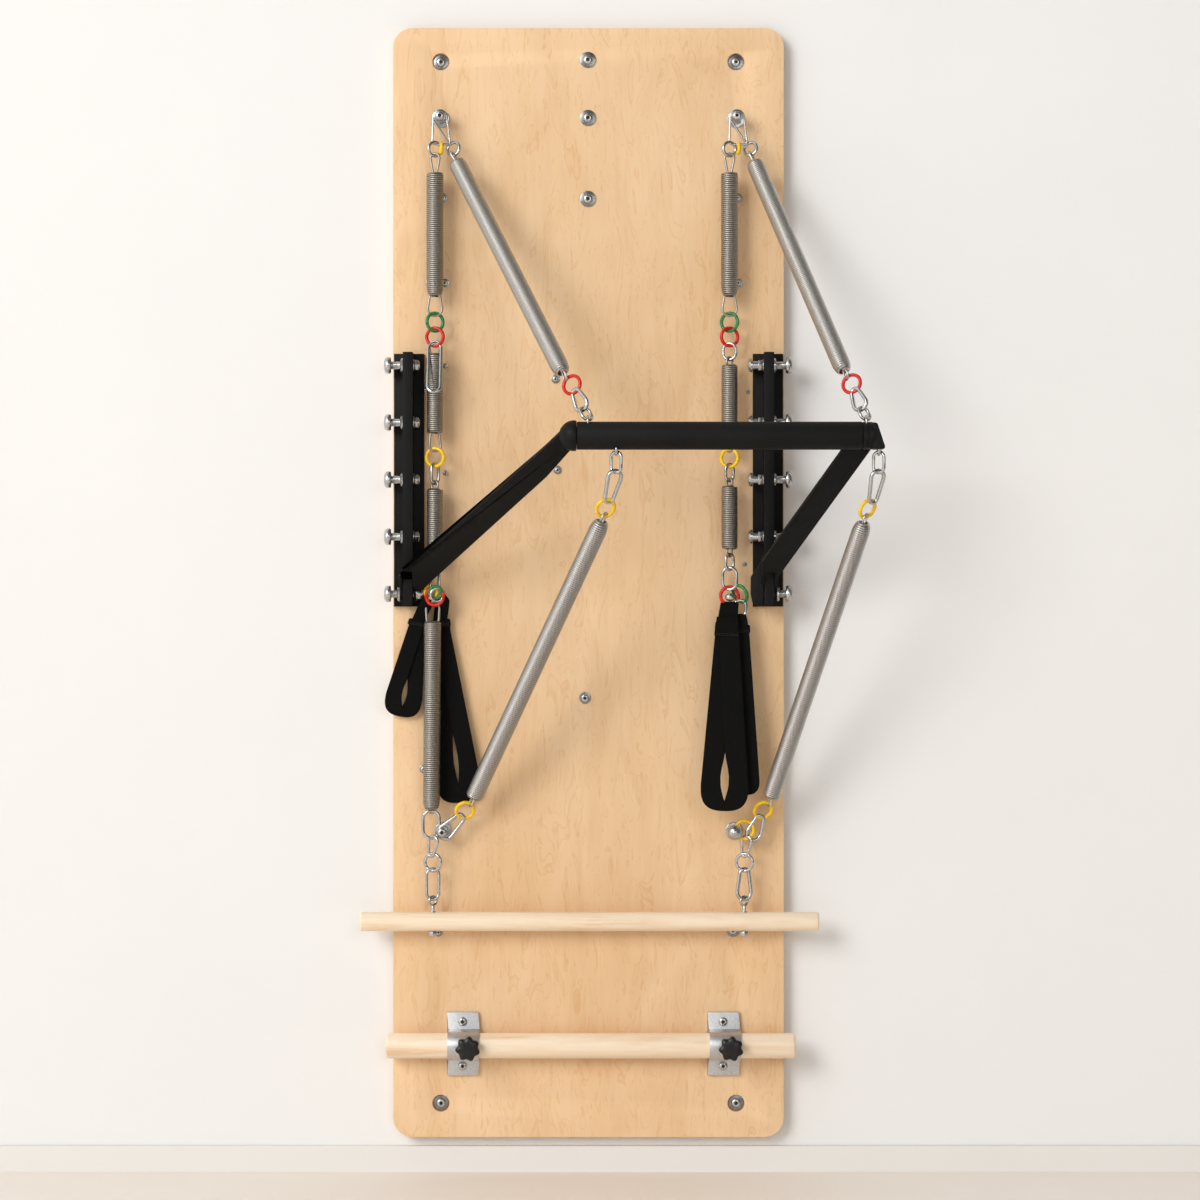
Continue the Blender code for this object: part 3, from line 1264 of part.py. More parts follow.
short_neck = ring_spot(cluster_centre, -NECK_ANGLE, NECK_RADIUS)
short_handle = build_handle("left_short_handle", short_neck, ring_tangent(-NECK_ANGLE),
                            SHORT_SHOULDER, SHORT_LOOP, *SHORT_WIDTHS)
long_neck = ring_spot(cluster_centre, NECK_ANGLE, NECK_RADIUS)
long_handle = build_handle("left_long_handle", long_neck, ring_tangent(NECK_ANGLE),
                           LONG_SHOULDER, LONG_LOOP, *LONG_WIDTHS)
hang_on(joint_empty("left_handle_joint", cluster_centre), short_handle, long_handle)

front_neck = front_ring_centre + DOWN * (RING_RADIUS + NECK_DROP)
front_handle = build_handle("right_front_handle", front_neck, (1.0, 0.0, 0.0),
                            FRONT_SHOULDER, FRONT_LOOP, *FRONT_WIDTHS)
rear_neck = rear_link_centre + DOWN * (REAR_LINK_LENGTH / 2 + NECK_DROP)
rear_handle = build_handle("right_rear_handle", rear_neck, (1.0, 0.0, 0.0),
                           REAR_SHOULDER, REAR_LOOP, *REAR_WIDTHS)

# Roll-down bar and the chains that carry it

roll_down_pieces = [build_dowel()]
for word, side, top_x in (("left", -1.0, LEFT_OVAL_X), ("right", 1.0, RIGHT_RING_X)):
    eyebolt = build_dowel_eyebolt("roll_down_" + word + "_eyebolt", side)
    node = "roll_down_" + word + "_chain"
    eye_top = dowel_eye_z() + DOWEL_EYE_RADIUS - DOWEL_EYE_WIRE - LINK_WIRE - GAP
    chain_top = Vector((top_x, HOOK_DEPTH_Y, SWING_AXIS_Z))
    chain_bottom = Vector((side * DOWEL_EYE_X, HOOK_DEPTH_Y, eye_top))
    heading = (chain_bottom - chain_top).normalized()
    ring_part = (node, "ring", ring_sizes(), 0.0)
    remaining = (chain_bottom - chain_top).length - 2 * RING_RADIUS + RING_WIRE + LINK_WIRE - JOIN_DEPTH
    link_part = (node, "link", link_sizes(remaining, 0.0110), 50.0)
    nodes, middles = build_chain(chain_top + heading * RING_RADIUS, heading, [ring_part, link_part])
    chain = settle(nodes, {})[node]
    roll_down_pieces += [eyebolt, chain]
hang_on(joint_empty("roll_down_joint", Vector((0.0, HOOK_DEPTH_Y, SWING_AXIS_Z))), *roll_down_pieces)

# Foot bar

foot_bar = build_foot_bar()
hang_on(joint_empty("foot_bar_joint", Vector((FOOT_BAR_SHIFT, FOOT_BAR_Y, FOOT_BAR_Z))), foot_bar)
for word, across in (("left", CLAMP_LEFT_X), ("right", CLAMP_RIGHT_X)):
    build_clamp(word + "_clamp", across)
    knob_joint = joint_empty(word + "_knob_joint",
                             Vector((across + KNOB_SHIFT, FOOT_BAR_Y, FOOT_BAR_Z)))
    hang_on(knob_joint, build_knob(word + "_knob", across))

# The right column swings from its upper ring; its pieces share one empty on that axis

right_axis = Vector((right_top.x, HOOK_DEPTH_Y,
                     right_top.z - SMALL_RING_RADIUS + RING_WIRE + SPRING_LOOP_WIRE + GAP))
hang_on(joint_empty("right_column_joint", right_axis), front_handle, rear_handle, *right_done.values())

triangles = 0
for piece in PARTS.objects:
    if piece.type == "MESH":
        piece.data.calc_loop_triangles()
        triangles += len(piece.data.loop_triangles)
        print(piece.name, len(piece.data.loop_triangles))
print("nodes:", sum(1 for piece in PARTS.objects if piece.type == "MESH"), "triangles:", triangles)
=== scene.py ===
# %% [markdown]
# # A wall-mounted pilates springboard
#
# A springboard is a tall plywood board that is bolted to a wall. Long springs hang on it, a
# push-through bar swings on two arms, and straps and wooden bars give hands and feet something
# to hold. This lesson dresses its plain CAD model: each wire, coil, strap and board is modelled
# again with the detail that a photograph shows, in exactly the place where the CAD has it.

# %% Load the frame
import math

import bpy
from mathutils import Matrix, Vector


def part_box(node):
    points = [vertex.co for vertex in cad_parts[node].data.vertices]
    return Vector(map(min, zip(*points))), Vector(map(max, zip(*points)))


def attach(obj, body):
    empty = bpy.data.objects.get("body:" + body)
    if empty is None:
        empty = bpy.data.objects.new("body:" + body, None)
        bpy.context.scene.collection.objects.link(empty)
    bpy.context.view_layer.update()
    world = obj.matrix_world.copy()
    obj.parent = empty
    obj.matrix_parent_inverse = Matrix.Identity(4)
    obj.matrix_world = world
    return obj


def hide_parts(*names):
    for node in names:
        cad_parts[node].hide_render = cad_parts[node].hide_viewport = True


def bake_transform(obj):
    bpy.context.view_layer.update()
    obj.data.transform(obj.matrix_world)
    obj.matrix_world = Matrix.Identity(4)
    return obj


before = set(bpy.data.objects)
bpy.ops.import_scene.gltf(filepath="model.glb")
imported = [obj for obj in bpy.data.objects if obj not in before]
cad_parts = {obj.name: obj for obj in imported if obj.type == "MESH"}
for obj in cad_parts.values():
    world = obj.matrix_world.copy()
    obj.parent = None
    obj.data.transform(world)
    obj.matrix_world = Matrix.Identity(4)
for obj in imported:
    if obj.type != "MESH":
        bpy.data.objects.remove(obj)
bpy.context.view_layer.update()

# %% [markdown]
# ## Working like a modeller
#
# Operators act on whatever is selected, so every step begins by clearing the selection and
# picking one piece. These helpers say in one word what a hand would do.

# %% Small helpers for selection
def deselect_all():
    active = bpy.context.view_layer.objects.active
    if active is not None and active.mode != "OBJECT":
        bpy.ops.object.mode_set(mode="OBJECT")
    bpy.ops.object.select_all(action="DESELECT")


def pick(piece):
    deselect_all()
    piece.select_set(True)
    bpy.context.view_layer.objects.active = piece
    return piece


def new_piece(name):
    """Name the object that the last primitive made."""
    piece = bpy.context.view_layer.objects.active
    piece.name = name
    piece.data.name = name
    return piece


def primitive(add, name, **settings):
    """Add a primitive with its operator on a clear selection, and name it."""
    deselect_all()
    add(**settings)
    return new_piece(name)


def paint(piece, finish):
    """Give the whole piece one finish."""
    piece.data.materials.clear()
    piece.data.materials.append(finish)
    return piece


# %% [markdown]
# ### Points, edges and faces
#
# A part of a mesh is chosen by its place or its normal. The choice is made in object mode and
# shows when edit mode opens again.

# %% Helpers for edit mode
def open_edit(piece, kind="VERT"):
    pick(piece)
    bpy.ops.object.mode_set(mode="EDIT")
    bpy.ops.mesh.select_mode(type=kind)
    bpy.ops.mesh.select_all(action="DESELECT")


def pick_points(piece, wanted):
    """Enter edit mode with the vertices selected whose place passes the test."""
    open_edit(piece)
    bpy.ops.object.mode_set(mode="OBJECT")
    for vertex in piece.data.vertices:
        vertex.select = wanted(vertex.co)
    bpy.ops.object.mode_set(mode="EDIT")


def pick_edges(piece, wanted):
    """Enter edit mode with the edges selected whose two ends pass the test."""
    open_edit(piece, "EDGE")
    bpy.ops.object.mode_set(mode="OBJECT")
    points = piece.data.vertices
    for edge in piece.data.edges:
        edge.select = wanted(points[edge.vertices[0]].co, points[edge.vertices[1]].co)
    bpy.ops.object.mode_set(mode="EDIT")


def pick_faces(piece, wanted):
    """Enter edit mode with the faces selected whose middle and normal pass the test."""
    open_edit(piece, "FACE")
    bpy.ops.object.mode_set(mode="OBJECT")
    for face in piece.data.polygons:
        face.select = wanted(face.center, face.normal)
    bpy.ops.object.mode_set(mode="EDIT")


def close_edit():
    bpy.ops.object.mode_set(mode="OBJECT")


def mend_normals(piece):
    """Merge doubled points and turn every face outwards."""
    open_edit(piece)
    bpy.ops.mesh.select_all(action="SELECT")
    bpy.ops.mesh.remove_doubles(threshold=1e-6)
    bpy.ops.mesh.normals_make_consistent(inside=False)
    close_edit()


# %% [markdown]
# ### Modifiers
#
# A modifier describes a change, and applying it writes the change into the mesh. Bevels round the
# edges, and a boolean cuts a hole with another piece.

# %% Helpers that finish a mesh
def freeze(piece):
    """Put the object's place, turn and size into its mesh."""
    pick(piece)
    bpy.ops.object.transform_apply(location=True, rotation=True, scale=True)
    return piece


def apply_modifiers(piece):
    pick(piece)
    for step in list(piece.modifiers):
        bpy.ops.object.modifier_apply(modifier=step.name)
    return piece


def round_edges(piece, width, segments=3, angle=40.0):
    """A Bevel modifier on the sharp edges, applied."""
    bevel = piece.modifiers.new("round edges", "BEVEL")
    bevel.width = width
    bevel.segments = segments
    bevel.limit_method = "ANGLE"
    bevel.angle_limit = math.radians(angle)
    bevel.harden_normals = False
    return apply_modifiers(piece)


def smooth(piece, angle=35.0):
    pick(piece)
    bpy.ops.object.shade_smooth_by_angle(angle=math.radians(angle))
    return piece


def cut_with(piece, cutter):
    """Subtract the cutter and throw it away."""
    step = piece.modifiers.new("cut", "BOOLEAN")
    step.operation = "DIFFERENCE"
    step.solver = "EXACT"
    step.object = cutter
    apply_modifiers(piece)
    bpy.data.objects.remove(cutter, do_unlink=True)
    return piece


def unite(pieces, name):
    """Join several meshes into one object."""
    deselect_all()
    for piece in pieces:
        piece.select_set(True)
    bpy.context.view_layer.objects.active = pieces[0]
    if len(pieces) > 1:
        bpy.ops.object.join()
    return new_piece(name)


# %% [markdown]
# ### Placing
#
# A piece is modelled upright at the origin, where its numbers are simple, and then stood in its
# place. At the end it is told what it rides on and which parts of the CAD it stands for.

# %% Helpers that place a piece
def turn_towards(centre, along, across):
    """A matrix that puts local Z along one direction and local X across it."""
    along = Vector(along).normalized()
    across = Vector(across)
    across = (across - along * across.dot(along)).normalized()
    third = along.cross(across)
    return Matrix.Translation(centre) @ Matrix((across, third, along)).transposed().to_4x4()


def stand(piece, centre, along, across):
    """Place a piece that was modelled at the origin, and freeze it there."""
    piece.matrix_world = turn_towards(centre, along, across)
    return freeze(piece)


def mounted(piece, body, *nodes, slot=None):
    """Say what the finished piece rides on and which CAD nodes it stands for."""
    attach(piece, body)
    if nodes:
        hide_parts(*nodes)
    return piece


# %% [markdown]
# ## Reading places off the CAD
#
# The board's front face is the reference: what stands in front of it has a depth in metres.
# World Y runs into the wall, so a depth is a negative Y.

# %% Places that many pieces share
BOARD_LOW, BOARD_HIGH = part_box("panel")
FRONT = BOARD_LOW[1]
DOWN = Vector((0.0, 0.0, -1.0))
UP = Vector((0.0, 0.0, 1.0))
RIGHT = Vector((1.0, 0.0, 0.0))
OUT = Vector((0.0, -1.0, 0.0))
SIDES = (("left", -1.0), ("right", 1.0))
CHAIN_DEPTH = 0.036
CHAIN_Y = FRONT - CHAIN_DEPTH


def depth(distance):
    return FRONT - distance


print("board front at", round(FRONT, 4), "chains at", round(CHAIN_Y, 4))

# %% [markdown]
# ## Materials
#
# Every finish is a Principled BSDF whose colour, roughness and bump come from procedural
# textures on Object coordinates, in metres, so a pattern has its real size. The helpers below
# add one node each and wire it in, which keeps each material to a few readable lines.

# %% Node helpers
EVEN, WHITE = (1.0, 1.0, 1.0), (1.0, 1.0, 1.0)


def new_material(name, color, roughness, metallic=0.0):
    finish = bpy.data.materials.new(name)
    finish.use_nodes = True
    set_shader(finish, Base_Color=(*color, 1.0), Roughness=roughness, Metallic=metallic)
    return finish


def shader_of(finish):
    return finish.node_tree.nodes["Principled BSDF"]


def set_shader(finish, **values):
    """Plain numbers on the shader's own sockets; an underscore stands for a space."""
    for socket, value in values.items():
        shader_of(finish).inputs[socket.replace("_", " ")].default_value = value


def add_node(finish, kind, **settings):
    node = finish.node_tree.nodes.new(kind)
    for key, value in settings.items():
        setattr(node, key, value)
    return node


def wire(finish, source, target):
    finish.node_tree.links.new(source, target)


# %% [markdown]
# ### Textures, ramps and mixes
#
# A noise gives one grey value for each place. Coordinates that are scaled on one axis draw it out
# into streaks, a ramp turns it into colours, and a mix lays one pattern over another.

# %% Texture helpers
def stretched(finish, scale, kind="Object"):
    """Object or UV coordinates, scaled on each axis."""
    place = add_node(finish, "ShaderNodeTexCoord")
    mapping = add_node(finish, "ShaderNodeMapping")
    mapping.inputs["Scale"].default_value = scale
    wire(finish, place.outputs[kind], mapping.inputs["Vector"])
    return mapping.outputs["Vector"]


def noise(finish, stretch, scale, detail=4.0, roughness=0.55, distortion=0.0):
    texture = add_node(finish, "ShaderNodeTexNoise")
    for socket, value in (("Scale", scale), ("Detail", detail), ("Roughness", roughness),
                          ("Distortion", distortion)):
        texture.inputs[socket].default_value = value
    wire(finish, stretched(finish, stretch), texture.inputs["Vector"])
    return texture.outputs["Fac"]


def ramp(finish, value, stops):
    """A colour ramp from (position, colour) pairs."""
    node = add_node(finish, "ShaderNodeValToRGB")
    points = node.color_ramp.elements
    while len(points) < len(stops):
        points.new(0.5)
    for point, (position, color) in zip(points, stops):
        point.position = position
        point.color = (*color, 1.0)
    wire(finish, value, node.inputs["Fac"])
    return node.outputs["Color"]


def grey_ramp(finish, value, low, high, start=0.3, end=0.7):
    return ramp(finish, value, [(start, (low,) * 3), (end, (high,) * 3)])


def mix(finish, first, second, factor, blend="MIX"):
    """Mix two colours; each input is a socket, a number or a colour."""
    node = add_node(finish, "ShaderNodeMix", data_type="RGBA", blend_type=blend)
    for slot, value in ((0, factor), (6, first), (7, second)):
        if isinstance(value, bpy.types.NodeSocket):
            wire(finish, value, node.inputs[slot])
        elif slot == 0:
            node.inputs[slot].default_value = value
        else:
            node.inputs[slot].default_value = (*value, 1.0)
    return node.outputs[2]


def set_color(finish, color):
    wire(finish, color, shader_of(finish).inputs["Base Color"])


def set_roughness(finish, value):
    wire(finish, value, shader_of(finish).inputs["Roughness"])


def add_bump(finish, height, strength, distance):
    bump = add_node(finish, "ShaderNodeBump")
    bump.inputs["Strength"].default_value = strength
    bump.inputs["Distance"].default_value = distance
    wire(finish, height, bump.inputs["Height"])
    wire(finish, bump.outputs["Normal"], shader_of(finish).inputs["Normal"])


def math_node(finish, operation, first, second=0.0):
    node = add_node(finish, "ShaderNodeMath", operation=operation)
    for slot, value in ((0, first), (1, second)):
        if isinstance(value, bpy.types.NodeSocket):
            wire(finish, value, node.inputs[slot])
        else:
            node.inputs[slot].default_value = value
    return node.outputs[0]


# %% [markdown]
# ### Maple plywood
#
# The board's face veneer is pale maple. Its grain runs up the board as long soft streaks, with
# wide cloudy patches and short darker flecks that lean a little. Three noises stretched along Z
# give those three scales. The edge of a plywood board shows its plies, thin stripes of changing
# brown, so faces that look sideways get a second colour that changes with Y.

# %% Plywood
MAPLE = (0.840, 0.580, 0.342)
MAPLE_DARK = (0.800, 0.535, 0.300)
MAPLE_LIGHT = (0.870, 0.615, 0.375)
PLY_COUNT = 9


def make_plywood():
    finish = new_material("maple_plywood", MAPLE, 0.42)
    clouds = noise(finish, (5.0, 1.0, 2.2), 1.6, 3.0, 0.5, 0.8)
    grain = noise(finish, (26.0, 26.0, 2.6), 1.5, 6.0, 0.60, 1.4)
    flecks = noise(finish, (23.0, 23.0, 5.6), 1.0, 2.5, 0.50, 2.6)
    cloudy = ramp(finish, clouds, [(0.32, MAPLE_DARK), (0.50, MAPLE), (0.68, MAPLE_LIGHT)])
    streaks = ramp(finish, grain, [(0.30, (0.94, 0.915, 0.88)), (0.52, WHITE), (0.75, (1.02, 1.025, 1.03))])
    lines = ramp(finish, flecks, [(0.395, WHITE), (0.412, (0.95, 0.89, 0.81)), (0.430, WHITE), (0.590, WHITE),
                                  (0.610, (0.93, 0.86, 0.77)), (0.640, (0.98, 0.97, 0.95)), (0.70, WHITE)])
    face = mix(finish, cloudy, streaks, 0.7, "MULTIPLY")
    face = mix(finish, face, lines, 1.0, "MULTIPLY")
    place = add_node(finish, "ShaderNodeTexCoord")
    parts = add_node(finish, "ShaderNodeSeparateXYZ")
    wire(finish, place.outputs["Object"], parts.inputs["Vector"])
    turns = math_node(finish, "MULTIPLY", parts.outputs["Y"], math.tau * PLY_COUNT / 2 / -FRONT)
    plies = math_node(finish, "SINE", turns)
    edge = ramp(finish, math_node(finish, "MULTIPLY_ADD", plies, 0.5),
                [(0.0, (0.50, 0.30, 0.15)), (0.5, (0.74, 0.50, 0.29))])
    look = add_node(finish, "ShaderNodeNewGeometry")
    split = add_node(finish, "ShaderNodeSeparateXYZ")
    wire(finish, look.outputs["Normal"], split.inputs["Vector"])
    sideways = math_node(finish, "LESS_THAN", math_node(finish, "ABSOLUTE", split.outputs["Y"]), 0.5)
    set_color(finish, mix(finish, face, edge, sideways))
    set_roughness(finish, grey_ramp(finish, grain, 0.58, 0.70))
    add_bump(finish, grain, 0.08, 0.0006)
    set_shader(finish, Specular_IOR_Level=0.25)
    return finish


PLYWOOD = make_plywood()
print("plywood with", PLY_COUNT, "plies")


# %% [markdown]
# ### Turned dowels
#
# The two round bars are paler than the board and their grain runs along X. A stretched noise
# bent by a low one draws the long flame figure, and a fine one adds pores.

# %% Dowel wood
def make_dowel_wood():
    finish = new_material("dowel_wood", (0.90, 0.70, 0.48), 0.40)
    figure = noise(finish, (2.4, 26.0, 26.0), 1.5, 5.0, 0.6, 1.1)
    pores = noise(finish, (14.0, 260.0, 260.0), 1.0, 3.0, 0.6)
    base = ramp(finish, figure, [(0.30, (0.80, 0.57, 0.35)), (0.46, (0.90, 0.72, 0.52)),
                                 (0.62, (0.93, 0.78, 0.60)), (0.78, (0.87, 0.68, 0.47))])
    fine = ramp(finish, pores, [(0.25, (0.93, 0.89, 0.84)), (0.55, WHITE)])
    set_color(finish, mix(finish, base, fine, 0.7, "MULTIPLY"))
    set_roughness(finish, grey_ramp(finish, figure, 0.34, 0.48))
    add_bump(finish, pores, 0.10, 0.0004)
    set_shader(finish, Coat_Weight=0.2, Coat_Roughness=0.3)
    return finish


DOWEL_WOOD = make_dowel_wood()
print("made", DOWEL_WOOD.name)


# %% [markdown]
# ### Metals
#
# Wire, washers and clamps are the same recipe with other numbers: a metallic shader whose
# brightness is clouded by a low noise and whose roughness is scratched by a fine one. Zinc
# plated wire is bright, the springs of the two columns are darker and browner, and the
# aluminium of the clamps is brushed one way.

# %% Metal finishes
def make_metal(name, dark, light, rough_low, rough_high, scratches=EVEN, bump=0.04):
    finish = new_material(name, light, rough_low, 1.0)
    clouds = noise(finish, EVEN, 260.0, 3.0)
    marks = noise(finish, scratches, 30.0, 5.0, 0.65)
    set_color(finish, ramp(finish, clouds, [(0.30, dark), (0.70, light)]))
    set_roughness(finish, grey_ramp(finish, marks, rough_low, rough_high))
    add_bump(finish, marks, bump, 0.0002)
    return finish


LONG_SCRATCHES, BRUSHED = (4.0, 4.0, 1.0), (0.6, 9.0, 9.0)
ZINC = make_metal("zinc_wire", (0.42, 0.42, 0.42), (0.58, 0.58, 0.57), 0.12, 0.22)
BOLT_STEEL = make_metal("bolt_steel", (0.44, 0.44, 0.44), (0.58, 0.58, 0.57), 0.20, 0.32)
# Painted shade: a darkened copy of the bolt steel for the washers, so that the flat washers look shaded.
WASHER_PAINTED_SHADE = make_metal("washer_steel_painted_shade", (0.20, 0.20, 0.20), (0.33, 0.33, 0.32), 0.22, 0.36)
BRIGHT_SPRING = make_metal("bright_spring_wire", (0.50, 0.485, 0.46), (0.60, 0.585, 0.56), 0.32, 0.42,
                           LONG_SCRATCHES)
COLUMN_SPRING = make_metal("column_spring_wire", (0.36, 0.335, 0.295), (0.44, 0.41, 0.365), 0.38, 0.48,
                           LONG_SCRATCHES)
CLAMP_METAL = make_metal("clamp_aluminium", (0.53, 0.54, 0.55), (0.64, 0.65, 0.66), 0.36, 0.50, BRUSHED, 0.05)
# Painted shade: near-black steel that stands for the shade inside the bolts' hexagon sockets.
SOCKET_PAINTED_SHADE = make_metal("socket_painted_shade", (0.035, 0.035, 0.035), (0.06, 0.06, 0.06), 0.40, 0.55)
print("springs are made of", BRIGHT_SPRING.name, "and", COLUMN_SPRING.name)


# %% [markdown]
# ### Lacquered rings
#
# The rings are colour coded: yellow, red and green lacquer over steel, glossy and a little
# uneven where it has pooled.

# %% Ring colours
def make_lacquer(name, color, shade):
    finish = new_material(name, color, 0.22)
    pools = noise(finish, EVEN, 160.0, 3.0)
    set_color(finish, ramp(finish, pools, [(0.35, shade), (0.6, color)]))
    set_roughness(finish, grey_ramp(finish, pools, 0.18, 0.34))
    add_bump(finish, pools, 0.06, 0.0003)
    set_shader(finish, Coat_Weight=0.12, Specular_IOR_Level=0.35)
    return finish


YELLOW = make_lacquer("yellow_lacquer", (0.96, 0.62, 0.004), (0.84, 0.48, 0.004))
RED = make_lacquer("red_lacquer", (0.70, 0.016, 0.010), (0.48, 0.010, 0.007))
GREEN = make_lacquer("green_lacquer", (0.035, 0.24, 0.07), (0.02, 0.14, 0.04))
print("ring colours:", YELLOW.name, RED.name, GREEN.name)


# %% [markdown]
# ### Black finishes
#
# The blacks differ by their surface: powder coat is finely pebbled, foam is dull and porous, and
# the moulded knobs are smooth with a soft shine. One recipe serves all three, because only the
# size and the height of the grain and the gloss change.

# %% Powder coat, foam and knob plastic
def make_black(name, low, high, rough_low, rough_high, grain, strength, distance, gloss):
    finish = new_material(name, high, rough_low)
    set_shader(finish, Specular_IOR_Level=gloss)
    broad = noise(finish, EVEN, 9.0, 3.0)
    fine = noise(finish, EVEN, grain, 3.0, 0.6)
    set_color(finish, ramp(finish, broad, [(0.3, low), (0.7, high)]))
    set_roughness(finish, grey_ramp(finish, fine, rough_low, rough_high))
    add_bump(finish, fine, strength, distance)
    return finish


SOOT, COAL = (0.0055, 0.0055, 0.0055), (0.0085, 0.0085, 0.0085)
POWDER = make_black("black_powder_coat", SOOT, COAL, 0.42, 0.55, 900.0, 0.25, 0.0002, 0.12)
FOAM = make_black("black_foam", SOOT, (0.0085, 0.0085, 0.0083), 0.55, 0.70, 700.0, 0.30, 0.0003, 0.15)
KNOB = make_black("black_knob", (0.004, 0.004, 0.004), (0.007, 0.007, 0.007), 0.26, 0.36, 500.0, 0.08,
                  0.0001, 0.40)
print("blacks:", POWDER.name, FOAM.name, KNOB.name)

# %% [markdown]
# ### Webbing
#
# Webbing is woven, so light catches its threads in slanting rows. Two wave textures stand for warp and weft,
# and their blend drives the bump and a colour ramp that paints this light: a painted highlight on the threads
# and painted shade between them. The weave must follow each strap round its turn, which only a UV map can do.

# %% Woven webbing
WEAVE_STEP = 0.0021


def make_webbing():
    finish = new_material("black_webbing", (0.006, 0.006, 0.006), 0.85)
    set_shader(finish, Specular_IOR_Level=0.06)
    vector = stretched(finish, (1.0 / WEAVE_STEP, 1.0 / WEAVE_STEP, 1.0), "UV")
    threads = []
    for direction, scale, distortion in (("DIAGONAL", 0.35, 0.4), ("X", 0.5, 0.0)):
        wave = add_node(finish, "ShaderNodeTexWave", wave_type="BANDS", bands_direction=direction)
        wave.inputs["Scale"].default_value = scale
        wave.inputs["Distortion"].default_value = distortion
        wire(finish, vector, wave.inputs["Vector"])
        threads.append(wave.outputs["Color"])
    height = mix(finish, *threads, 0.5)
    # Painted light: darker in the hollows between threads as painted shade, lighter on their tops as painted
    # highlight.
    low, high = (0.0028, 0.0028, 0.0028), (0.0085, 0.0085, 0.0084)
    set_color(finish, ramp(finish, height, [(0.1, low), (0.8, high)]))
    add_bump(finish, height, 0.5, 0.0005)
    return finish


WEBBING = make_webbing()
THREAD = new_material("black_thread", (0.020, 0.020, 0.020), 0.7)
print("materials made:", len(bpy.data.materials))

# %% [markdown]
# ## Camera
#
# The photograph looks straight at the board from about five and a half metres with a long lens,
# so parallel edges stay nearly parallel. A wide lens from close by would show the rails' inner
# sides and make the lower bar look larger than it is.

# %% Camera
CAMERA_X = 0.021
CAMERA_Z = -0.032
CAMERA_DISTANCE = 5.5
LENS_MM = 90.16
deselect_all()
bpy.ops.object.camera_add(location=(CAMERA_X, FRONT - CAMERA_DISTANCE, CAMERA_Z),
                          rotation=(math.radians(90.0), 0.0, 0.0))
camera = bpy.context.view_layer.objects.active
camera.name = "front_camera"
camera.data.lens = LENS_MM
camera.data.sensor_width = 36.0
camera.data.clip_end = 50.0
bpy.context.scene.camera = camera
bpy.context.scene.view_settings.view_transform = "Standard"
print("camera at", [round(value, 3) for value in camera.location])

# %% [markdown]
# ## Wall, skirting and floor
#
# The stage is a pale wall, a skirting board and a wooden floor. The wall is one face that shows
# only from the room's side. Seen from behind it lets light pass, and so it does for rays that
# start right at it, so the board's back can be looked at too.

# %% Wall, skirting and floor
WALL_Y, TOUCHING = 0.0015, 0.004
STAGE_WIDTH, WALL_HEIGHT = 9.0, 6.0
FLOOR_Y, FLOOR_Z, FLOOR_LENGTH, FLOOR_THICKNESS = -3.5, -1.081, 7.2, 0.1
SKIRTING_TOP, SKIRTING_DEPTH = -1.034, 0.014


def stage_material(name, color, roughness, speckle):
    finish = new_material(name, color, roughness)
    grain = noise(finish, EVEN, speckle, 4.0)
    low = tuple(channel * 0.985 for channel in color)
    set_color(finish, ramp(finish, grain, [(0.3, low), (0.7, color)]))
    return finish


WALL_PAINT = stage_material("wall_paint", (0.865, 0.858, 0.846), 0.9, 3.0)
SKIRTING_PAINT = stage_material("skirting_paint", (0.81, 0.79, 0.76), 0.6, 5.0)
FLOOR_BOARDS = stage_material("floor_boards", (0.90, 0.83, 0.755), 0.55, 9.0)


def one_sided(finish):
    """Make a stage finish clear from behind, and for rays that start closer than TOUCHING."""
    side = add_node(finish, "ShaderNodeNewGeometry").outputs["Backfacing"]
    path = add_node(finish, "ShaderNodeLightPath").outputs["Ray Length"]
    clear = add_node(finish, "ShaderNodeBsdfTransparent")
    either = add_node(finish, "ShaderNodeMixShader")
    near = math_node(finish, "LESS_THAN", path, TOUCHING)
    wire(finish, math_node(finish, "MAXIMUM", side, near), either.inputs[0])
    wire(finish, shader_of(finish).outputs[0], either.inputs[1])
    wire(finish, clear.outputs[0], either.inputs[2])
    wire(finish, either.outputs[0], finish.node_tree.nodes["Material Output"].inputs["Surface"])
    return finish


def staged(piece, size, finish):
    """Scale a primitive of one metre to its size, and give it its finish."""
    bpy.ops.transform.resize(value=size)
    paint(freeze(piece), finish)
    return piece


wall = primitive(bpy.ops.mesh.primitive_plane_add, "wall", size=1.0, location=(0.0, WALL_Y, 1.0),
                 rotation=(math.radians(90.0), 0.0, 0.0))
staged(wall, (STAGE_WIDTH, 1.0, WALL_HEIGHT), one_sided(WALL_PAINT))
skirting = primitive(bpy.ops.mesh.primitive_cube_add, "skirting", size=1.0,
                     location=(0.0, WALL_Y - SKIRTING_DEPTH / 2, (SKIRTING_TOP + FLOOR_Z) / 2))
staged(skirting, (STAGE_WIDTH, SKIRTING_DEPTH, SKIRTING_TOP - FLOOR_Z), SKIRTING_PAINT)
floor = primitive(bpy.ops.mesh.primitive_cube_add, "floor", size=1.0,
                  location=(0.0, FLOOR_Y, FLOOR_Z - FLOOR_THICKNESS / 2))
staged(floor, (STAGE_WIDTH, FLOOR_LENGTH, FLOOR_THICKNESS), FLOOR_BOARDS)
print("wall faces", [round(value, 2) for value in wall.data.polygons[0].normal], "skirting and floor made")


# %% [markdown]
# ## Light
#
# One large soft lamp stands to the upper left, like a window. A weak one in front and the world
# fill its shadows. The world is bright on the window's side and dim on the other, so that round
# metal shows a light and a dark flank. Where no wall is in the way, the camera sees it white.

# %% Lamps
ROOM_EDGE, ROOM_LEVEL = (-0.55, 0.05), (1.05, 0.14)
DAYLIGHT = (1.0, 0.992, 0.98)


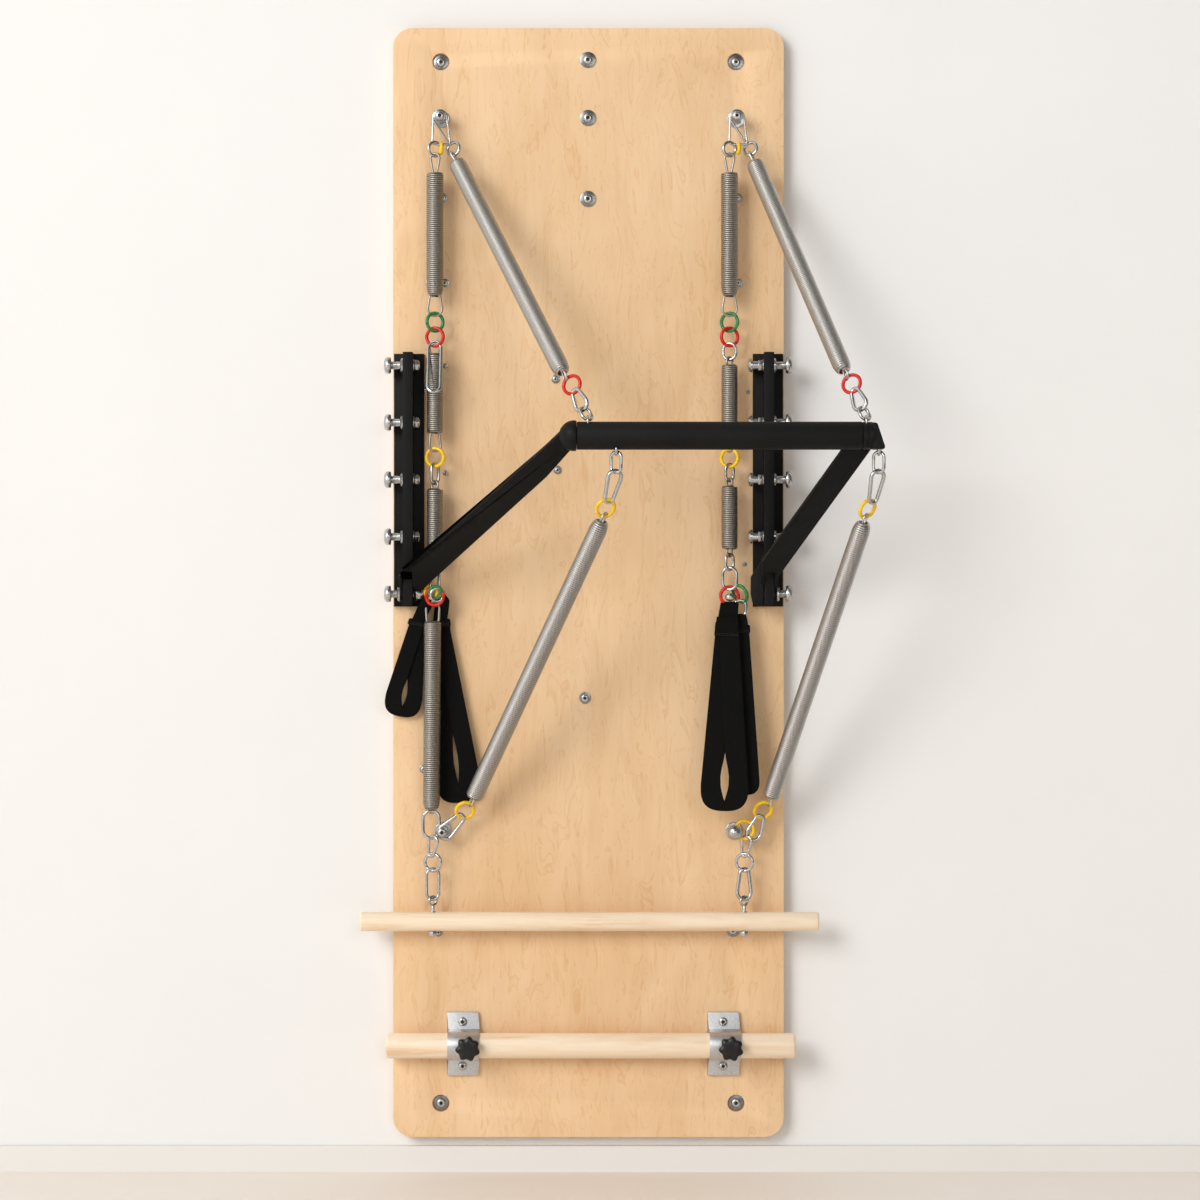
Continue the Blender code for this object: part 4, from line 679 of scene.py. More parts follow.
def soft_lamp(name, place, target, size, watts, color):
    deselect_all()
    bpy.ops.object.light_add(type="AREA", location=place)
    lamp = bpy.context.view_layer.objects.active
    lamp.name = name
    lamp.data.shape = "RECTANGLE"
    lamp.data.size, lamp.data.size_y = size
    lamp.data.energy = watts
    lamp.data.color = color
    aim = Vector(target) - Vector(place)
    lamp.rotation_euler = aim.to_track_quat("-Z", "Y").to_euler()
    return lamp


soft_lamp("window_lamp", (-5.2, -7.4, 3.7), (0.0, 0.0, 0.0), (4.0, 4.2), 470.0, DAYLIGHT)
soft_lamp("front_lamp", (1.6, -6.2, 1.2), (0.0, 0.0, -0.1), (3.0, 2.4), 50.0, (1.0, 0.995, 0.985))
sky = bpy.data.worlds.new("pale_room")
sky.use_nodes = True
parts = add_node(sky, "ShaderNodeSeparateXYZ")
wire(sky, add_node(sky, "ShaderNodeTexCoord").outputs["Generated"], parts.inputs["Vector"])
level = add_node(sky, "ShaderNodeMapRange", interpolation_type="SMOOTHSTEP")
for socket, value in zip(("From Min", "From Max", "To Min", "To Max"), (*ROOM_EDGE, *ROOM_LEVEL)):
    level.inputs[socket].default_value = value
wire(sky, parts.outputs["X"], level.inputs["Value"])
seen = add_node(sky, "ShaderNodeLightPath").outputs["Is Camera Ray"]
background = sky.node_tree.nodes["Background"]
background.inputs["Color"].default_value = (*DAYLIGHT, 1.0)
wire(sky, math_node(sky, "MAXIMUM", seen, level.outputs["Result"]), background.inputs["Strength"])
bpy.context.scene.world = sky

# %% [markdown]
# ## The board
#
# A cube is scaled to the board's size, its four upright corner edges are bevelled into wide
# rounds, and each mounting hole is bored with its flat-bottomed counterbore. A fine bevel then
# breaks the rims, as a router does, so they catch the light.

# %% Panel
BOARD_CORNER = 0.036
BOLT_X, BOLT_INSET, BOLT_HOLE = 0.270, 0.062, 0.006
COUNTERBORE, COUNTERBORE_DEPTH = 0.0155, 0.006
BOARD_WIDTH = BOARD_HIGH[0] - BOARD_LOW[0]
BOARD_HEIGHT = BOARD_HIGH[2] - BOARD_LOW[2]
BOLT_SPOTS = [(side * BOLT_X, level * (BOARD_HEIGHT / 2 - BOLT_INSET))
              for side in (-1, 1) for level in (-1, 1)]


def round_bar(name, start, end, radius, sides=32):
    """A capped cylinder between two places, for cutters and plain rods."""
    start, end = Vector(start), Vector(end)
    piece = primitive(bpy.ops.mesh.primitive_cylinder_add, name, vertices=sides, radius=radius,
                      depth=(end - start).length)
    across = UP if abs((end - start).normalized().z) < 0.9 else RIGHT
    return stand(piece, (start + end) / 2, end - start, across)


def slab(name, low, high):
    """A box between its lowest and its highest corner."""
    low, high = Vector(low), Vector(high)
    piece = primitive(bpy.ops.mesh.primitive_cube_add, name, size=1.0, location=(low + high) / 2)
    bpy.ops.transform.resize(value=tuple(high - low))
    return freeze(piece)


panel = slab("panel_board", (-BOARD_WIDTH / 2, FRONT, -BOARD_HEIGHT / 2),
             (BOARD_WIDTH / 2, 0.0, BOARD_HEIGHT / 2))
pick_edges(panel, lambda a, b: abs(a.y - b.y) > -FRONT / 2)
bpy.ops.mesh.bevel(offset=BOARD_CORNER, segments=14, affect="EDGES")
close_edit()
for across, up in BOLT_SPOTS:
    mouth = Vector((across, FRONT - 0.001, up))
    cut_with(panel, round_bar("sink", mouth, (across, FRONT + COUNTERBORE_DEPTH, up), COUNTERBORE, 48))
    cut_with(panel, round_bar("hole", mouth, (across, 0.001, up), BOLT_HOLE, 24))
round_edges(panel, 0.0014, 3, 50.0)
paint(smooth(panel, 40.0), PLYWOOD)
mounted(panel, "board", "panel", slot="plywood")
print("panel faces:", len(panel.data.polygons))

# %% [markdown]
# ## Turned pieces
#
# Bolts, washers, knobs and dowels are turned shapes. Each starts as a disc that is extruded ring
# by ring and resized on the way, as one would pull a vase up from its base. A profile lists the
# distance along the axis and the radius there.

# %% Turning
def turned(name, profile, sides=32):
    """Extrude a disc ring by ring along local +Z through (along, radius) pairs."""
    along, radius = profile[0]
    piece = freeze(primitive(bpy.ops.mesh.primitive_circle_add, name, vertices=sides, radius=radius,
                             fill_type="NGON", location=(0.0, 0.0, along)))
    open_edit(piece, "FACE")
    bpy.ops.mesh.select_all(action="SELECT")
    for next_along, next_radius in profile[1:]:
        bpy.ops.mesh.extrude_region_move(TRANSFORM_OT_translate={"value": (0.0, 0.0, next_along - along)})
        if next_radius != radius:
            share = next_radius / radius
            bpy.ops.transform.resize(value=(share, share, 1.0))
        along, radius = next_along, next_radius
    close_edit()
    mend_normals(piece)
    return piece


def dressed(piece, finish, bevel=0.0004, segments=2, angle=35.0):
    """Break the edges, smooth the rest, and give the finish."""
    if bevel:
        round_edges(piece, bevel, segments, 30.0)
    return paint(smooth(piece, angle), finish)


# %% [markdown]
# ### Bolts with a hexagon socket
#
# A button head is a low dome. Its socket is a six-sided cut. The head is turned, and a six-sided cylinder is
# subtracted from its middle. A near-black plug at the socket's bottom is painted shade, and the washer's
# darkened steel is painted shade too.

# %% Button-head bolts and washers in the board
def button_bolt(name, radius, height, socket, washer_radius, washer_height):
    """A washer with a domed head on it, along local +Z from the board's face."""
    washer = turned(name + "_washer", [(0.0, washer_radius), (washer_height, washer_radius)], 40)
    # The washer takes the darkened steel, which is painted shade.
    dressed(washer, WASHER_PAINTED_SHADE, 0.0004)
    rise = [(math.sin(turn), math.cos(turn)) for turn in (0.0, 0.35, 0.7, 1.05, 1.3)]
    dome = [(washer_height + height * (0.25 + 0.75 * up), radius * (0.35 + 0.65 * out)) for up, out in rise]
    head = turned(name + "_head", [(washer_height - 0.0002, radius)] + dome, 40)
    top = washer_height + height
    cut_with(head, round_bar("socket", UP * (top - 0.7 * height), UP * (top + 0.002), socket, 6))
    dressed(head, BOLT_STEEL, 0.0002, 1)
    # A near-black plug at the socket's bottom is painted shade in the recess.
    bottom = round_bar("socket_shade_plug", UP * washer_height, UP * (top - 0.62 * height), socket * 0.97, 6)
    return unite([washer, head, dressed(bottom, SOCKET_PAINTED_SHADE, 0.0)], name)


def board_bolt(name, across, up, level, radius, height, washer_radius, turn=0.0):
    bolt = button_bolt(name, radius, height, radius * 0.42, washer_radius, 0.0016)
    direction = Vector((math.cos(turn), 0.0, math.sin(turn)))
    return mounted(stand(bolt, (across, level, up), OUT, direction), "board", slot="steel")


MM_PER_PIXEL, PHOTO_MIDDLE = 1.83, 600
LARGE_BOLTS = ((588, 60), (588, 118), (588, 199))
SMALL_BOLTS = ((585, 698, 0.0108), (557.5, 470, 0.0076), (445.5, 473, 0.0050), (445, 366, 0.0048),
               (425, 388, 0.0076), (555.5, 379, 0.0082), (443, 198, 0.0086), (430.5, 198, 0.0070),
               (445, 283, 0.0076), (430, 283, 0.0076), (737.8, 198, 0.0086), (725.5, 198, 0.0074),
               (738.5, 283, 0.0082), (725, 283, 0.0082), (423.5, 769, 0.0076), (744.5, 564, 0.0040),
               (748, 392, 0.0036))
WASHER_SPOTS = ((438.5, 932.5, 0.0075), (733, 930.5, 0.0118))


def on_board(px, py):
    """Metres on the board's face from a pixel of the photograph."""
    return ((px - PHOTO_MIDDLE) * MM_PER_PIXEL / 1000 + CAMERA_X,
            (PHOTO_MIDDLE - py) * MM_PER_PIXEL / 1000 + CAMERA_Z)


for index, (across, up) in enumerate(BOLT_SPOTS):
    board_bolt("corner_bolt_" + str(index + 1), across, up, FRONT + COUNTERBORE_DEPTH, 0.0085, 0.0045,
               0.0146, index * 0.7)
for index, spot in enumerate(LARGE_BOLTS):
    board_bolt("middle_bolt_" + str(index + 1), *on_board(*spot), FRONT, 0.0088, 0.0052, 0.0148, index * 1.1)
for name, spots, head_share, height, turn_step in (("small_bolt_", SMALL_BOLTS, 0.66, 0.0032, 0.5),
                                                   ("hidden_bolt_", WASHER_SPOTS, 0.6, 0.0034, 0.4)):
    for index, (px, py, washer_radius) in enumerate(spots):
        board_bolt(name + str(index + 1), *on_board(px, py), FRONT, washer_radius * head_share, height,
                   washer_radius, index * turn_step)
print("bolts in the board:", len(BOLT_SPOTS) + len(LARGE_BOLTS) + len(SMALL_BOLTS) + len(WASHER_SPOTS))

# %% [markdown]
# ## Wire
#
# Rings, links, carabiners and hooks are bent from round wire. Most bends follow a centre line: a
# curve with a round bevel, turned into a mesh.

# %% Wire along a line
WIRE_SIDES = 10
RING_WIRE, LINK_WIRE, HOOK_WIRE, LOOP_WIRE, EYE_WIRE = 0.0023, 0.0022, 0.0030, 0.0018, 0.0025
RING_RADIUS, SMALL_RING = 0.0155, 0.0125
STOUT, LACQUER = 0.0007, 0.0008


def empty_line():
    """A curve without a spline, ready for points."""
    deselect_all()
    bpy.ops.curve.primitive_nurbs_path_add()
    line = bpy.context.view_layer.objects.active
    line.data.splines.clear()
    return line


def bent_wire(name, points, radius, closed=False, finish=ZINC):
    """A round wire along a line of places."""
    line = empty_line()
    spline = line.data.splines.new("POLY")
    spline.points.add(len(points) - 1)
    for knot, point in zip(spline.points, points):
        knot.co = (*point, 1.0)
    spline.use_cyclic_u = closed
    line.data.bevel_depth = radius
    line.data.bevel_resolution = (WIRE_SIDES - 4) // 2
    line.data.use_fill_caps = not closed
    bpy.ops.object.convert(target="MESH")
    piece = new_piece(name)
    mend_normals(piece)
    return paint(smooth(piece, 50.0), finish)


# %% [markdown]
# ### Rings and links
#
# A ring is a torus. A link is a torus whose two halves are moved apart. Each hangs in the one
# above it, so it is given a heading and a turn about that heading.

# %% Rings and links
def chain_axes(heading, yaw):
    """Directions along a hanging link and across it, turned by yaw about the chain."""
    heading = Vector(heading).normalized()
    flat = heading.cross(OUT).normalized()
    if flat.x < 0:
        flat = -flat
    forward = heading.cross(flat).normalized()
    angle = math.radians(yaw)
    return heading, flat * math.cos(angle) + forward * math.sin(angle)


def torus(name, radius, wire_radius, segments, sides):
    return primitive(bpy.ops.mesh.primitive_torus_add, name, major_radius=radius, minor_radius=wire_radius,
                     major_segments=segments, minor_segments=sides)


def ring(name, centre, heading, yaw, radius=RING_RADIUS, wire_radius=RING_WIRE, finish=ZINC):
    """A ring that hangs in a chain; lacquered ones are a little stouter."""
    along, across = chain_axes(heading, yaw)
    coat = 0.0 if finish is ZINC else LACQUER
    piece = torus(name, radius + coat, wire_radius + STOUT + coat / 4, 44, WIRE_SIDES)
    stand(piece, centre, along.cross(across), across)
    return paint(smooth(piece, 60.0), finish)


def link(name, centre, heading, yaw, length, end_radius):
    along, across = chain_axes(heading, yaw)
    piece = torus(name, end_radius, LINK_WIRE + STOUT, 36, WIRE_SIDES)
    straight = length / 2 - end_radius
    for side in (-1.0, 1.0):
        pick_points(piece, lambda co: co.y * side > 1e-5)
        bpy.ops.transform.translate(value=(0.0, side * straight, 0.0))
        close_edit()
    stand(piece, centre, along.cross(across), across)
    return paint(smooth(piece, 60.0), ZINC)


def screw_eye(name, centre, radius, wire_radius, facing):
    """The closed eye of an eyebolt, standing upright and facing one way."""
    eye = stand(torus(name, radius, wire_radius, 40, 12), centre, facing, UP)
    return paint(smooth(eye, 60.0), ZINC)


# %% [markdown]
# ### Belts and snap links
#
# A pear or a triangle of wire runs like a belt round two or three wheels: straight between them,
# and round each. A snap link is such a belt with the thicker nose and hinge of its gate.

# %% Belts and snap links
def belt(circles, arc_points=12):
    """The line of a belt round circles given as (across, along, radius), in order."""
    outline = []
    count = len(circles)
    normals = []
    for index in range(count):
        x1, z1, r1 = circles[index]
        x2, z2, r2 = circles[(index + 1) % count]
        heading = math.atan2(z2 - z1, x2 - x1)
        normals.append(heading - math.acos((r1 - r2) / math.hypot(x2 - x1, z2 - z1)))
    for index in range(count):
        across, along, radius = circles[index]
        sweep = (normals[index] - normals[index - 1]) % math.tau
        for step in range(arc_points):
            angle = normals[index - 1] + sweep * step / (arc_points - 1)
            outline.append((across + radius * math.cos(angle), along + radius * math.sin(angle)))
    return outline


def wire_loop(name, centre, heading, yaw, circles, wire_radius, finish=ZINC):
    along, across = chain_axes(heading, yaw)
    centre = Vector(centre)
    points = [centre + across * x + along * z for x, z in belt(circles)]
    return bent_wire(name, points, wire_radius, True, finish)


def carabiner(name, centre, heading, yaw, length, top, bottom, wire_radius=LINK_WIRE):
    """A pear-shaped snap link with its gate, hinge pin and nose."""
    along, across = chain_axes(heading, yaw)
    centre = Vector(centre)
    circles = [(0.0, length / 2 - bottom, bottom), (0.0, top - length / 2, top)]
    body = wire_loop(name, centre, heading, yaw, circles, wire_radius + 2 * STOUT)
    slope = (bottom - top) / (length - top - bottom)
    start = centre + along * (top - length / 2) + across * (top * math.cos(slope))
    end = centre + along * (length / 2 - bottom) + across * (bottom * math.cos(slope))
    nose = bent_wire(name + "_nose", [start.lerp(end, 0.02), start.lerp(end, 0.18)], wire_radius * 1.5)
    hinge = bent_wire(name + "_hinge", [start.lerp(end, 0.84), start.lerp(end, 1.0)], wire_radius * 1.45)
    normal = along.cross(across)
    pin_place, pin_reach = start.lerp(end, 0.92), normal * wire_radius * 1.6
    pin = round_bar(name + "_pin", pin_place - pin_reach, pin_place + pin_reach, wire_radius * 0.5, 12)
    return unite([body, nose, hinge, paint(pin, BOLT_STEEL)], name)


# %% [markdown]
# ### Chains
#
# In a chain each part hangs in the one before it, so the distance between two middles is half of
# each part less the wires that overlap. The same rule as in the CAD puts every part in its place.

# %% Chains
GAP = 0.0003
JOIN_DEPTH = 0.0006


def half_length(sizes):
    return sizes["length"] / 2 if "length" in sizes else sizes["radius"]


def chain_middles(start, heading, parts):
    """Middles of parts given as (node, sizes), from a first middle on."""
    heading = Vector(heading).normalized()
    middles = [Vector(start)]
    for (node, sizes), (next_node, next_sizes) in zip(parts, parts[1:]):
        play = -JOIN_DEPTH if node == next_node else GAP
        step = half_length(sizes) + half_length(next_sizes) - sizes["wire"] - next_sizes["wire"] - play
        middles.append(middles[-1] + heading * step)
    return middles


def ring_size(radius=RING_RADIUS, wire_radius=RING_WIRE):
    return {"radius": radius, "wire": wire_radius}


def link_size(length, wire_radius=LINK_WIRE):
    return {"length": length, "wire": wire_radius}


# %% [markdown]
# ## Springs
#
# A close-wound extension spring is one wire in touching turns. A small circle, the wire's
# section, is swept by a Screw modifier, once round for each turn. The first and last turns are
# then drawn in towards the axis, so the spring ends in a round shoulder, and a wire loop stands
# out of each shoulder.

# %% Close-wound springs
TURN_STEPS = 20
WIRE_SECTION = 6
LOOP_FOOT = 0.0026


def close_wound(name, length, outer, wire_radius, shoulders, noses, finish):
    """A coil along local +Z, drawn in over a shoulder to the nose radius at its start and its end."""
    turns = max(3, round(length / (2.0 * wire_radius * 1.03)))
    coil = freeze(primitive(bpy.ops.mesh.primitive_circle_add, name, vertices=WIRE_SECTION,
                            radius=wire_radius, fill_type="NOTHING",
                            location=(outer - wire_radius, 0.0, wire_radius),
                            rotation=(math.radians(90.0), 0.0, 0.0)))
    sweep = coil.modifiers.new("turns", "SCREW")
    sweep.axis = "Z"
    sweep.screw_offset = (length - 2 * wire_radius) / turns
    sweep.iterations = turns
    sweep.steps = TURN_STEPS
    sweep.render_steps = TURN_STEPS
    sweep.use_smooth_shade = True
    apply_modifiers(coil)
    open_edit(coil)
    bpy.ops.mesh.select_all(action="SELECT")
    bpy.ops.mesh.fill_holes(sides=WIRE_SECTION)
    close_edit()
    mend_normals(coil)
    for vertex in coil.data.vertices:
        far_end = vertex.co.z > length / 2
        reach = length - vertex.co.z if far_end else vertex.co.z
        shoulder, nose = shoulders[far_end], noses[far_end]
        if reach < shoulder:
            away = 1.0 - max(reach, 0.0) / shoulder
            pull = (outer - nose) * (1.0 - math.sqrt(max(0.0, 1.0 - away * away)))
            out = math.hypot(vertex.co.x, vertex.co.y)
            share = (out - pull) / out
            vertex.co.x *= share
            vertex.co.y *= share
    return paint(smooth(coil, 75.0), finish)


def spring_with_loops(name, start, end, yaw, sizes, finish):
    """A spring from loop end to loop end. Its loops are belts round two circles: loop is the radius
    of the far one and foot that of the one at the coil; low_loop and low_foot change the lower end."""
    start, end = Vector(start), Vector(end)
    heading = (end - start).normalized()
    length = (end - start).length
    body = length - sizes["top_reach"] - sizes["bottom_reach"]
    coil = close_wound(name, body, sizes["outer"], sizes["wire"], sizes["shoulders"], sizes["noses"], finish)
    along, across = chain_axes(heading, yaw)
    stand(coil, start + heading * sizes["top_reach"], heading, across)
    pieces = [coil]
    for spot, reach, side in ((start, sizes["top_reach"], 1.0), (end, sizes["bottom_reach"], -1.0)):
        loop_length = reach + 0.008
        low = "low_" if side < 0.0 and "low_loop" in sizes else ""
        far = min(sizes[low + "loop"], loop_length / 2 - 0.0005)
        near = min(far, sizes.get(low + "foot", LOOP_FOOT))
        middle = spot + heading * side * loop_length / 2
        circles = [(0.0, loop_length / 2 - near, near), (0.0, far - loop_length / 2, far)]
        pieces.append(wire_loop(name + "_loop", middle, heading * side, yaw, circles, sizes["loop_wire"],
                                finish))
    return unite(pieces, name)


# %% [markdown]
# ## Posts in the board
#
# The chains hang on four steel posts. Each has a washer against the wood, a round shank with a
# shoulder, and a button head with a socket in front, so that nothing slips off. The post at the
# lower right ends in a ball instead.

# %% Posts
TOP_HOOK_X, TOP_HOOK_Z = 0.270, 0.848
BOTTOM_HOOK_X, BOTTOM_HOOK_Z = 0.266, -0.450
POST_RADIUS, POST_DROP, BALL_POST = 0.0080, 0.0045, "bottom_right_eyebolt"
BALL = ((-0.0060, 0.0085), (-0.0040, 0.0106), (-0.0010, 0.0125), (0.0030, 0.0132), (0.0070, 0.0126),
        (0.0100, 0.0108), (0.0122, 0.0082), (0.0130, 0.0060), (0.0150, 0.0052), (0.0160, 0.0036),
        (0.0163, 0.0012))


def board_post(node, across, up):
    """A washer, a round post that a hook hangs on, and a head in front."""
    base = turned(node + "_washer", [(0.0, 0.0160), (0.0022, 0.0160), (0.0030, 0.0150)], 44)
    dressed(base, BOLT_STEEL, 0.0003)
    reach = CHAIN_DEPTH + 0.0026
    post = turned(node + "_post", [(0.0028, 0.0098), (0.0060, 0.0098), (0.0090, POST_RADIUS),
                                   (reach, POST_RADIUS)], 36)
    dressed(post, BOLT_STEEL, 0.0004)
    if node == BALL_POST:
        ball = [(reach + rise, out) for rise, out in BALL]
        head = dressed(turned(node + "_head", ball, 44), BOLT_STEEL, 0.0)
    else:
        head = button_bolt(node + "_head", 0.0086, 0.0052, 0.0034, 0.0112, 0.0014)
        head.matrix_world = Matrix.Translation((0.0, 0.0, reach))
        freeze(head)
    bolt = stand(unite([base, post, head], node + "_steel"), (across, FRONT, up), OUT, RIGHT)
    return mounted(bolt, "board", node, slot="steel")


for word, side in SIDES:
    board_post("top_" + word + "_eyebolt", side * TOP_HOOK_X, TOP_HOOK_Z)
    board_post("bottom_" + word + "_eyebolt", side * BOTTOM_HOOK_X, BOTTOM_HOOK_Z - POST_DROP)
print("posts made")

# %% [markdown]
# ## Snap hooks at the top
#
# A three-cornered wire hook hangs on each upper post and carries two small rings. A straight
# gate wire crosses it from corner to corner, and a small yellow bead sits between the rings.

# %% Top snap hooks
SNAP_DROP, SNAP_LEFT, SNAP_CORNER = 0.041, -0.009, 0.005
COLUMN_RING_X, BAR_RING_X = {"left": -0.009, "right": -0.0135}, 0.0245
HOOK_RIGHT = 0.0130
EYE_HEIGHT, BAR_EYE = 0.0238, 0.0095
BAR_AXIS = Vector((0.0, depth(0.305), 0.252))
UPPER_EYES = {"left": 0.0, "right": 0.481}
LOWER_EYES = {"left": 0.049, "right": 0.503}
HOOK_LIFT = 0.011
SNAP_BAR_Z = TOP_HOOK_Z - HOOK_LIFT + HOOK_WIRE + LINK_WIRE + GAP
SNAP_BOTTOM = SNAP_BAR_Z - SNAP_DROP - SNAP_CORNER
top_ring_z = SNAP_BOTTOM - (SMALL_RING - RING_WIRE - LINK_WIRE + JOIN_DEPTH)
ARCH_RADIUS = POST_RADIUS + LINK_WIRE + 0.0022
ARCH_RISE = TOP_HOOK_Z - SNAP_BAR_Z - 0.0020
column_tops, bar_rings = {}, {}
for word, side in SIDES:
    node = "top_" + word + "_snap_hook"
    across = side * TOP_HOOK_X
    hook = wire_loop(node + "_loop", (across, CHAIN_Y, SNAP_BAR_Z), DOWN, 0.0,
                     [(0.0, -ARCH_RISE, ARCH_RADIUS), (HOOK_RIGHT, SNAP_DROP, SNAP_CORNER),
                      (SNAP_LEFT, SNAP_DROP, SNAP_CORNER)], LINK_WIRE)
    gate = bent_wire(node + "_gate", [(across - 0.0115, CHAIN_Y - 0.0028, TOP_HOOK_Z - 0.008),
                                      (across + 0.0148, CHAIN_Y - 0.0028, SNAP_BOTTOM + 0.004)],
                     LINK_WIRE)
    column_tops[word] = Vector((across + COLUMN_RING_X[word], CHAIN_Y, top_ring_z))
    bar_rings[word] = Vector((across + BAR_RING_X, CHAIN_Y, top_ring_z))
    pull = BAR_AXIS + Vector((UPPER_EYES[word], 0.0, EYE_HEIGHT)) - bar_rings[word]
    first = ring(node + "_a", column_tops[word], DOWN, -25.0, SMALL_RING)
    second = ring(node + "_b", bar_rings[word], pull, 20.0, SMALL_RING)
    bead = ring(node + "_bead", (across + 0.0020, CHAIN_Y - 0.001, top_ring_z + 0.001), DOWN, 78.0, 0.0078,
                finish=YELLOW)
    mounted(unite([hook, gate, first, second, bead], node + "_wire"), "board", node)
print("snap hooks made, rings at", round(top_ring_z, 4))

# %% [markdown]
# ## The two spring columns
#
# Springs, rings and links hang in a row under each top hook. The rings are coloured by strength:
# green, red, yellow. A spring is described by the length of its coil and by how far its two end
# loops reach out of it.

# %% Column springs
SLIM, FULL, SLIMMEST = 0.0137, 0.0150, 0.0143
COLUMN_WIRE, COIL_ROUNDING = 0.00175, 0.0009
ROW_DROP, LOWERED = 0.0045, DOWN * 0.0045
TOP_SHAPE = {"low_loop": 0.0132, "low_foot": 0.0100, "shoulders": (0.006, 0.022), "noses": (0.0125, 0.0070)}


def column_sizes(body, outer, top_reach, bottom_reach):
    return {"length": body + top_reach + bottom_reach, "wire": LOOP_WIRE, "outer": outer,
            "top_reach": top_reach, "bottom_reach": bottom_reach}


def longer(sizes, by):
    """Sizes of a spring whose upper end loop reaches further by some length."""
    return dict(sizes, length=sizes["length"] + by, top_reach=sizes["top_reach"] + by)


def column_spring(node, middle, heading, yaw, sizes, body=None):
    shape = dict({"loop": 0.0085, "shoulders": (0.007, 0.007), "noses": (0.0085, 0.0085)}, **sizes)
    shape.update(outer=max(sizes["outer"], SLIMMEST) + COIL_ROUNDING, wire=COLUMN_WIRE,
                 loop_wire=LOOP_WIRE + STOUT / 2)
    half = Vector(heading).normalized() * sizes["length"] / 2
    spring = spring_with_loops(node + "_coil", middle - half, middle + half, yaw, shape, COLUMN_SPRING)
    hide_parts(node)
    if body:
        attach(spring, body)
    return spring


print("column springs are at least", round(2 * (SLIMMEST + COIL_ROUNDING), 4), "m across")

# %% [markdown]
# ### The left column
#
# Three springs hang here above a cluster of rings. Each row below names the group a part belongs
# to, since parts of one group lie a little closer together. A long snap link hangs in the red ring
# and leans forward.

# %% Left column
left_rows = [("top", ring_size(SMALL_RING)), ("s1", column_sizes(0.227, FULL, 0.030, 0.034)),
             ("c1", ring_size()), ("c1", ring_size()), ("c1", ring_size(0.0, LINK_WIRE)),
             ("s2", column_sizes(0.148, SLIM, 0.026, 0.031)), ("c2", ring_size()), ("c2", link_size(0.036)),
             ("s3", column_sizes(0.137, SLIM, 0.012, 0.012)), ("c3", link_size(0.040)), ("c3", ring_size())]
left = chain_middles(column_tops["left"], DOWN, left_rows)
column_spring("left_spring_1", left[1] + LOWERED / 2, DOWN, 12.0,
              dict(longer(left_rows[1][1], ROW_DROP), **TOP_SHAPE), "board")
column_spring("left_spring_2", left[5] + LOWERED / 2, DOWN, 15.0,
              dict(longer(left_rows[5][1], -ROW_DROP), loop=0.0105, foot=0.0085), "board")
column_spring("left_spring_3", left[8], DOWN, 45.0, left_rows[8][1], "board")

SNAP_LENGTH, SNAP_LEAN, SNAP_END = 0.099, 0.43, 0.0115
lean = Vector((0.0, -SNAP_LEAN, -1.0)).normalized()
snap_z = left[3].z - RING_RADIUS + RING_WIRE + LINK_WIRE - JOIN_DEPTH
snap_middle = Vector((left[3].x, CHAIN_Y, snap_z)) + LOWERED + lean * SNAP_LENGTH / 2
long_snap = carabiner("long_snap", snap_middle, lean, 0.0, SNAP_LENGTH, SNAP_END, SNAP_END)
pieces = [ring("c1_green", left[2] + LOWERED, DOWN, -30.0, finish=GREEN),
          ring("c1_red", left[3] + LOWERED, DOWN, 20.0, finish=RED), long_snap]
mounted(unite(pieces, "left_coupling_1_wire"), "board", "left_coupling_1")
pieces = [ring("c2_yellow", left[6], DOWN, 15.0, finish=YELLOW),
          link("c2_link", left[7], DOWN, -45.0, 0.036, 0.0085)]
mounted(unite(pieces, "left_coupling_2_wire"), "board", "left_coupling_2")
cluster = left[10]
pieces = [link("c3_link", left[9], DOWN, -45.0, 0.040, 0.0100),
          ring("c3_ring", cluster, DOWN, 0.0, finish=RED)]
for finish, shift, tip, yaw, radius in ((RED, (0.0, -0.0080, -0.0010), 0.05, 6.0, 0.0150),
                                        (ZINC, (0.0045, -0.0120, 0.0020), 0.10, -18.0, 0.0118),
                                        (GREEN, (0.0015, -0.0120, 0.0060), 0.20, -8.0, 0.0100),
                                        (YELLOW, (-0.0072, -0.0040, 0.0070), 0.05, 20.0, 0.0108)):
    pieces.append(ring("c3_small", cluster + Vector(shift), (0.0, tip, -1.0), yaw, radius, finish=finish))
mounted(unite(pieces, "left_coupling_3_wire"), "board", "left_coupling_3")
print("left column ends at", [round(value, 4) for value in cluster])

# %% [markdown]
# ### The right column
#
# The right column hangs free and stretches. Its springs stay in the world's place, with no body to ride on. At
# its end a red ring carries the front handle, and a green ring at its side carries the rear one by a link of
# its own.

# %% Right column
right_rows = [("top", ring_size(SMALL_RING)), ("s1", column_sizes(0.227, FULL, 0.030, 0.034)),
              ("c1", ring_size()), ("c1", ring_size()), ("c1", link_size(0.034)),
              ("s2", column_sizes(0.148, SLIM, 0.012, 0.012)), ("c2", ring_size()), ("c2", link_size(0.030)),
              ("s3", column_sizes(0.118, SLIM, 0.012, 0.012)), ("rings", link_size(0.028)),
              ("rings", link_size(0.040)), ("rings", ring_size())]
right = chain_middles(column_tops["right"], DOWN, right_rows)
SPRING_SPANS = {"right_spring_1": (1, 0.0, "right_column", "right_middle"),
                "right_spring_2": (5, -50.0, "right_middle", "right_lower"),
                "right_spring_3": (8, 55.0, "right_lower", "right_rings")}
for node, (row, yaw, above, below) in SPRING_SPANS.items():
    sizes, middle = right_rows[row][1], right[row]
    if node == "right_spring_1":
        sizes, middle = dict(longer(sizes, ROW_DROP), **TOP_SHAPE), middle + LOWERED / 2
    spring = column_spring(node, middle, DOWN, yaw, sizes)
    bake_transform(spring)
